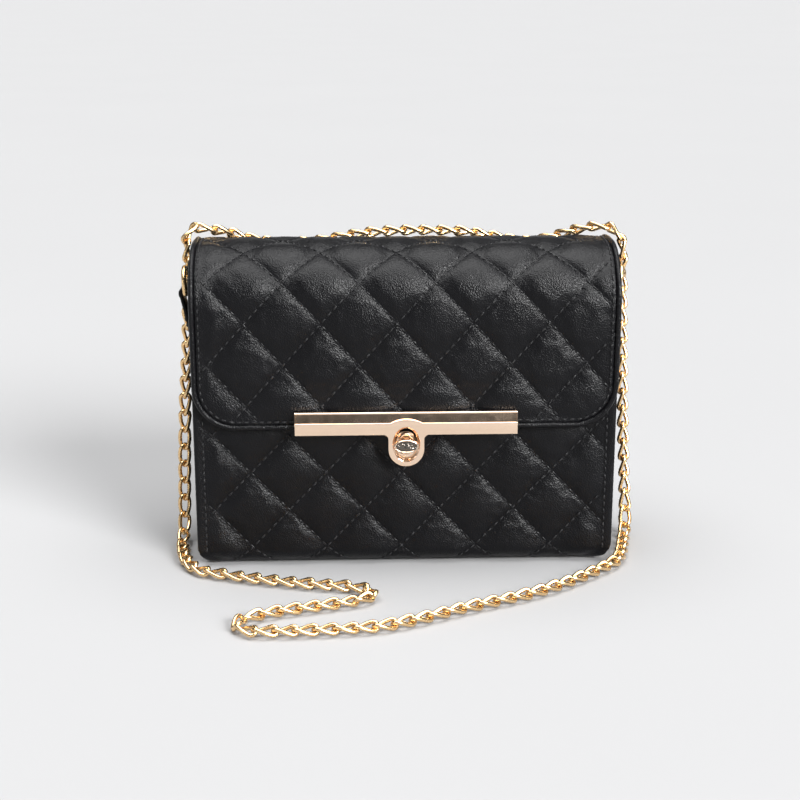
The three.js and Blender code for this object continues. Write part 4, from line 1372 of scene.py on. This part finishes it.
def add_lining():
    """A loose twill bag with high ends, a little wrinkled, turned in along its mouth."""
    low, high = cad_box("lining")
    front, back, floor = low[1] + 0.25, high[1] - 0.15, low[2] + 0.2
    outline = rounded_rectangle(high[0] - 0.5, front, back, LINING_CORNER, 7)
    outline = smooth_path(np.column_stack([outline, 0 * outline[:, 0]]), 2.2, closed=True)[:, :2]
    x, y = outline.T
    roof = SHELL.point(0, np.linspace(HINGE_S - 60, HINGE_S, 200), -5.4)
    order = np.argsort(roof[:, 1])
    ends = np.interp(y, roof[order, 1], roof[order, 2])
    wall_top = MOUTH_Z - 0.9
    top = wall_top + (ends - wall_top) * smoothstep((y - front) / 9)
    top = np.where(y > HINGE[1], HINGE[2] - 6.3, top)
    rings = []
    for share in (0.1, 0.4, 0.75, 0.95):
        rings.append(np.column_stack([x * share, y * share + (1 - share) * 5, 0 * x + floor]))
    for level in [*np.linspace(0, 0.06, 4), *np.linspace(0.1, 0.96, 40), 1.0]:
        z = floor + 0.4 + (top - floor - 0.4) * level
        rings.append(np.column_stack([x, np.minimum(y, lining_back(z, back)), z]))
    points, faces = loft(rings)
    faces = faces[:-1]  # no lid
    wave = noise_at(points * np.array([0.035, 0.05, 0.012]), 4) * 1.1
    wave += noise_at(points * np.array([0.11, 0.11, 0.03]), 6) * 0.35
    lift = smoothstep((points[:, 2] - floor) / 12) * smoothstep((112 - points[:, 2]) / 14)
    inwards = 0 * points
    inwards[:, 0] = -np.sign(points[:, 0]) * smoothstep((np.abs(points[:, 0]) - 70) / 15)
    inwards[:, 1] = np.where(points[:, 1] < 5, 1, -0.4) * (1 - np.abs(inwards[:, 0]))
    points = points + inwards * ((0.9 + wave) * lift)[:, None] * 0.8
    bag = make("lining_bag", points, faces, LINING, BODY, "lining_cloth", ["lining"])
    shell = bag.modifiers.new("thickness", "SOLIDIFY")
    shell.thickness = CLOTH_THICKNESS * MM
    shell.offset = -1
    apply_modifiers(bag)


TEETH_STEP = 0.8  # from a tooth of one side to the next of the other
SLIDER_CORNER = 1.6
SLIDER_FILLET = 1.2
PULL_HOLE = 0.9


def add_pocket():
    """The pocket behind the lining, its zip tape, teeth, slider and pull."""
    bag = slab(*cad_box("zip_pocket_bag"), 0.35, 2)
    make("pocket_bag", *bag, LINING, BODY, "lining_cloth", ["zip_pocket_bag"])
    tape = slab(*cad_box("zip_tape"), 0.2, 1)
    make("zip_tape_cloth", *tape, TAPE, BODY, "zip_tape_cloth", ["zip_tape"])

    low, high = cad_box("zip_teeth")
    middle = (low[2] + high[2]) / 2
    teeth = []
    for k, x in enumerate(np.arange(low[0] + 0.8, high[0] - 0.8, TEETH_STEP)):
        up = 1 if k % 2 else -1
        z0, z1 = sorted((middle - 0.55 * up, middle + 1.95 * up))
        teeth.append(slab((x - 0.33, low[1], z0), (x + 0.33, high[1], z1), 0.14, 1))
    make("zip_teeth_row", *merged(teeth), CHAIN_GOLD, BODY, "zip_metal", ["zip_teeth"])

    low, high = cad_box("zip_slider")
    middle, tall = (low[2] + high[2]) / 2, (high[2] - low[2]) / 2
    x, half = (low[0] + high[0]) / 2, (high[0] - low[0]) / 2
    nose = x + half - SLIDER_FILLET
    outline = bow(x - half + SLIDER_CORNER, middle, tall * 0.62, 110, 250, 10)
    outline += [(x + 0.5, middle - tall), (nose, middle - tall)]
    outline += bow(nose, middle - tall + SLIDER_FILLET, SLIDER_FILLET, -90, 0, 5)
    outline += bow(nose, middle + tall - SLIDER_FILLET, SLIDER_FILLET, 0, 90, 5)
    outline += [(x + 0.5, middle + tall)]
    parts = [cut_plate([outline], high[1] - 1.6, high[1], 0.25)]
    for ear in (x - 3.2, x + 2.2):
        parts.append(slab((ear, low[1], 105.4), (ear + 1, high[1] - 1.4, 107.8), 0.3, 2))
    make("zip_slider_body", *merged(parts), CHAIN_GOLD, "pocket_slider", "zip_metal",
         ["zip_slider"])

    low, high = cad_box("zip_pull")
    x, half = (low[0] + high[0]) / 2, (high[0] - low[0]) / 2
    waist = half * 0.72, high[2] - 9
    shape = bow(x, high[2] - half, half, 0, 180, 12) + [(x - waist[0], waist[1])]
    shape += bow(x, low[2] + half, half, 180, 360, 12) + [(x + waist[0], waist[1])]
    hole = bow(x, low[2] + 2.4, PULL_HOLE, 0, 345, 20)
    pull = cut_plate([shape, hole], low[1], high[1], 0.3)
    make("zip_pull_tag", *pull, CHAIN_GOLD, "pocket_pull", "zip_metal", ["zip_pull"])


def dress_frame():
    """Better materials on the CAD nodes that stay in sight or inside."""
    for node, material in (("base_board", BOARD), ("lock_back_plate", STEEL)):
        for slot in frame["nodes"][node].material_slots:
            slot.material = material


add_camera()
add_world()
add_floor()
add_light("key", **KEY)
add_light("fill", **FILL)

add_chain()
add_shell()
add_front()
add_edge_roll()
add_lock_bar()
add_turn_lock()
add_base()
add_gussets()
add_mouth_binding()
for side, name in ((-1, "left"), (1, "right")):
    add_ring_tab(side, name + "_ring_tab")
    add_ring(side, name + "_d_ring", name + "_ring")
add_flap_lining()
add_lining()
add_pocket()
dress_frame()
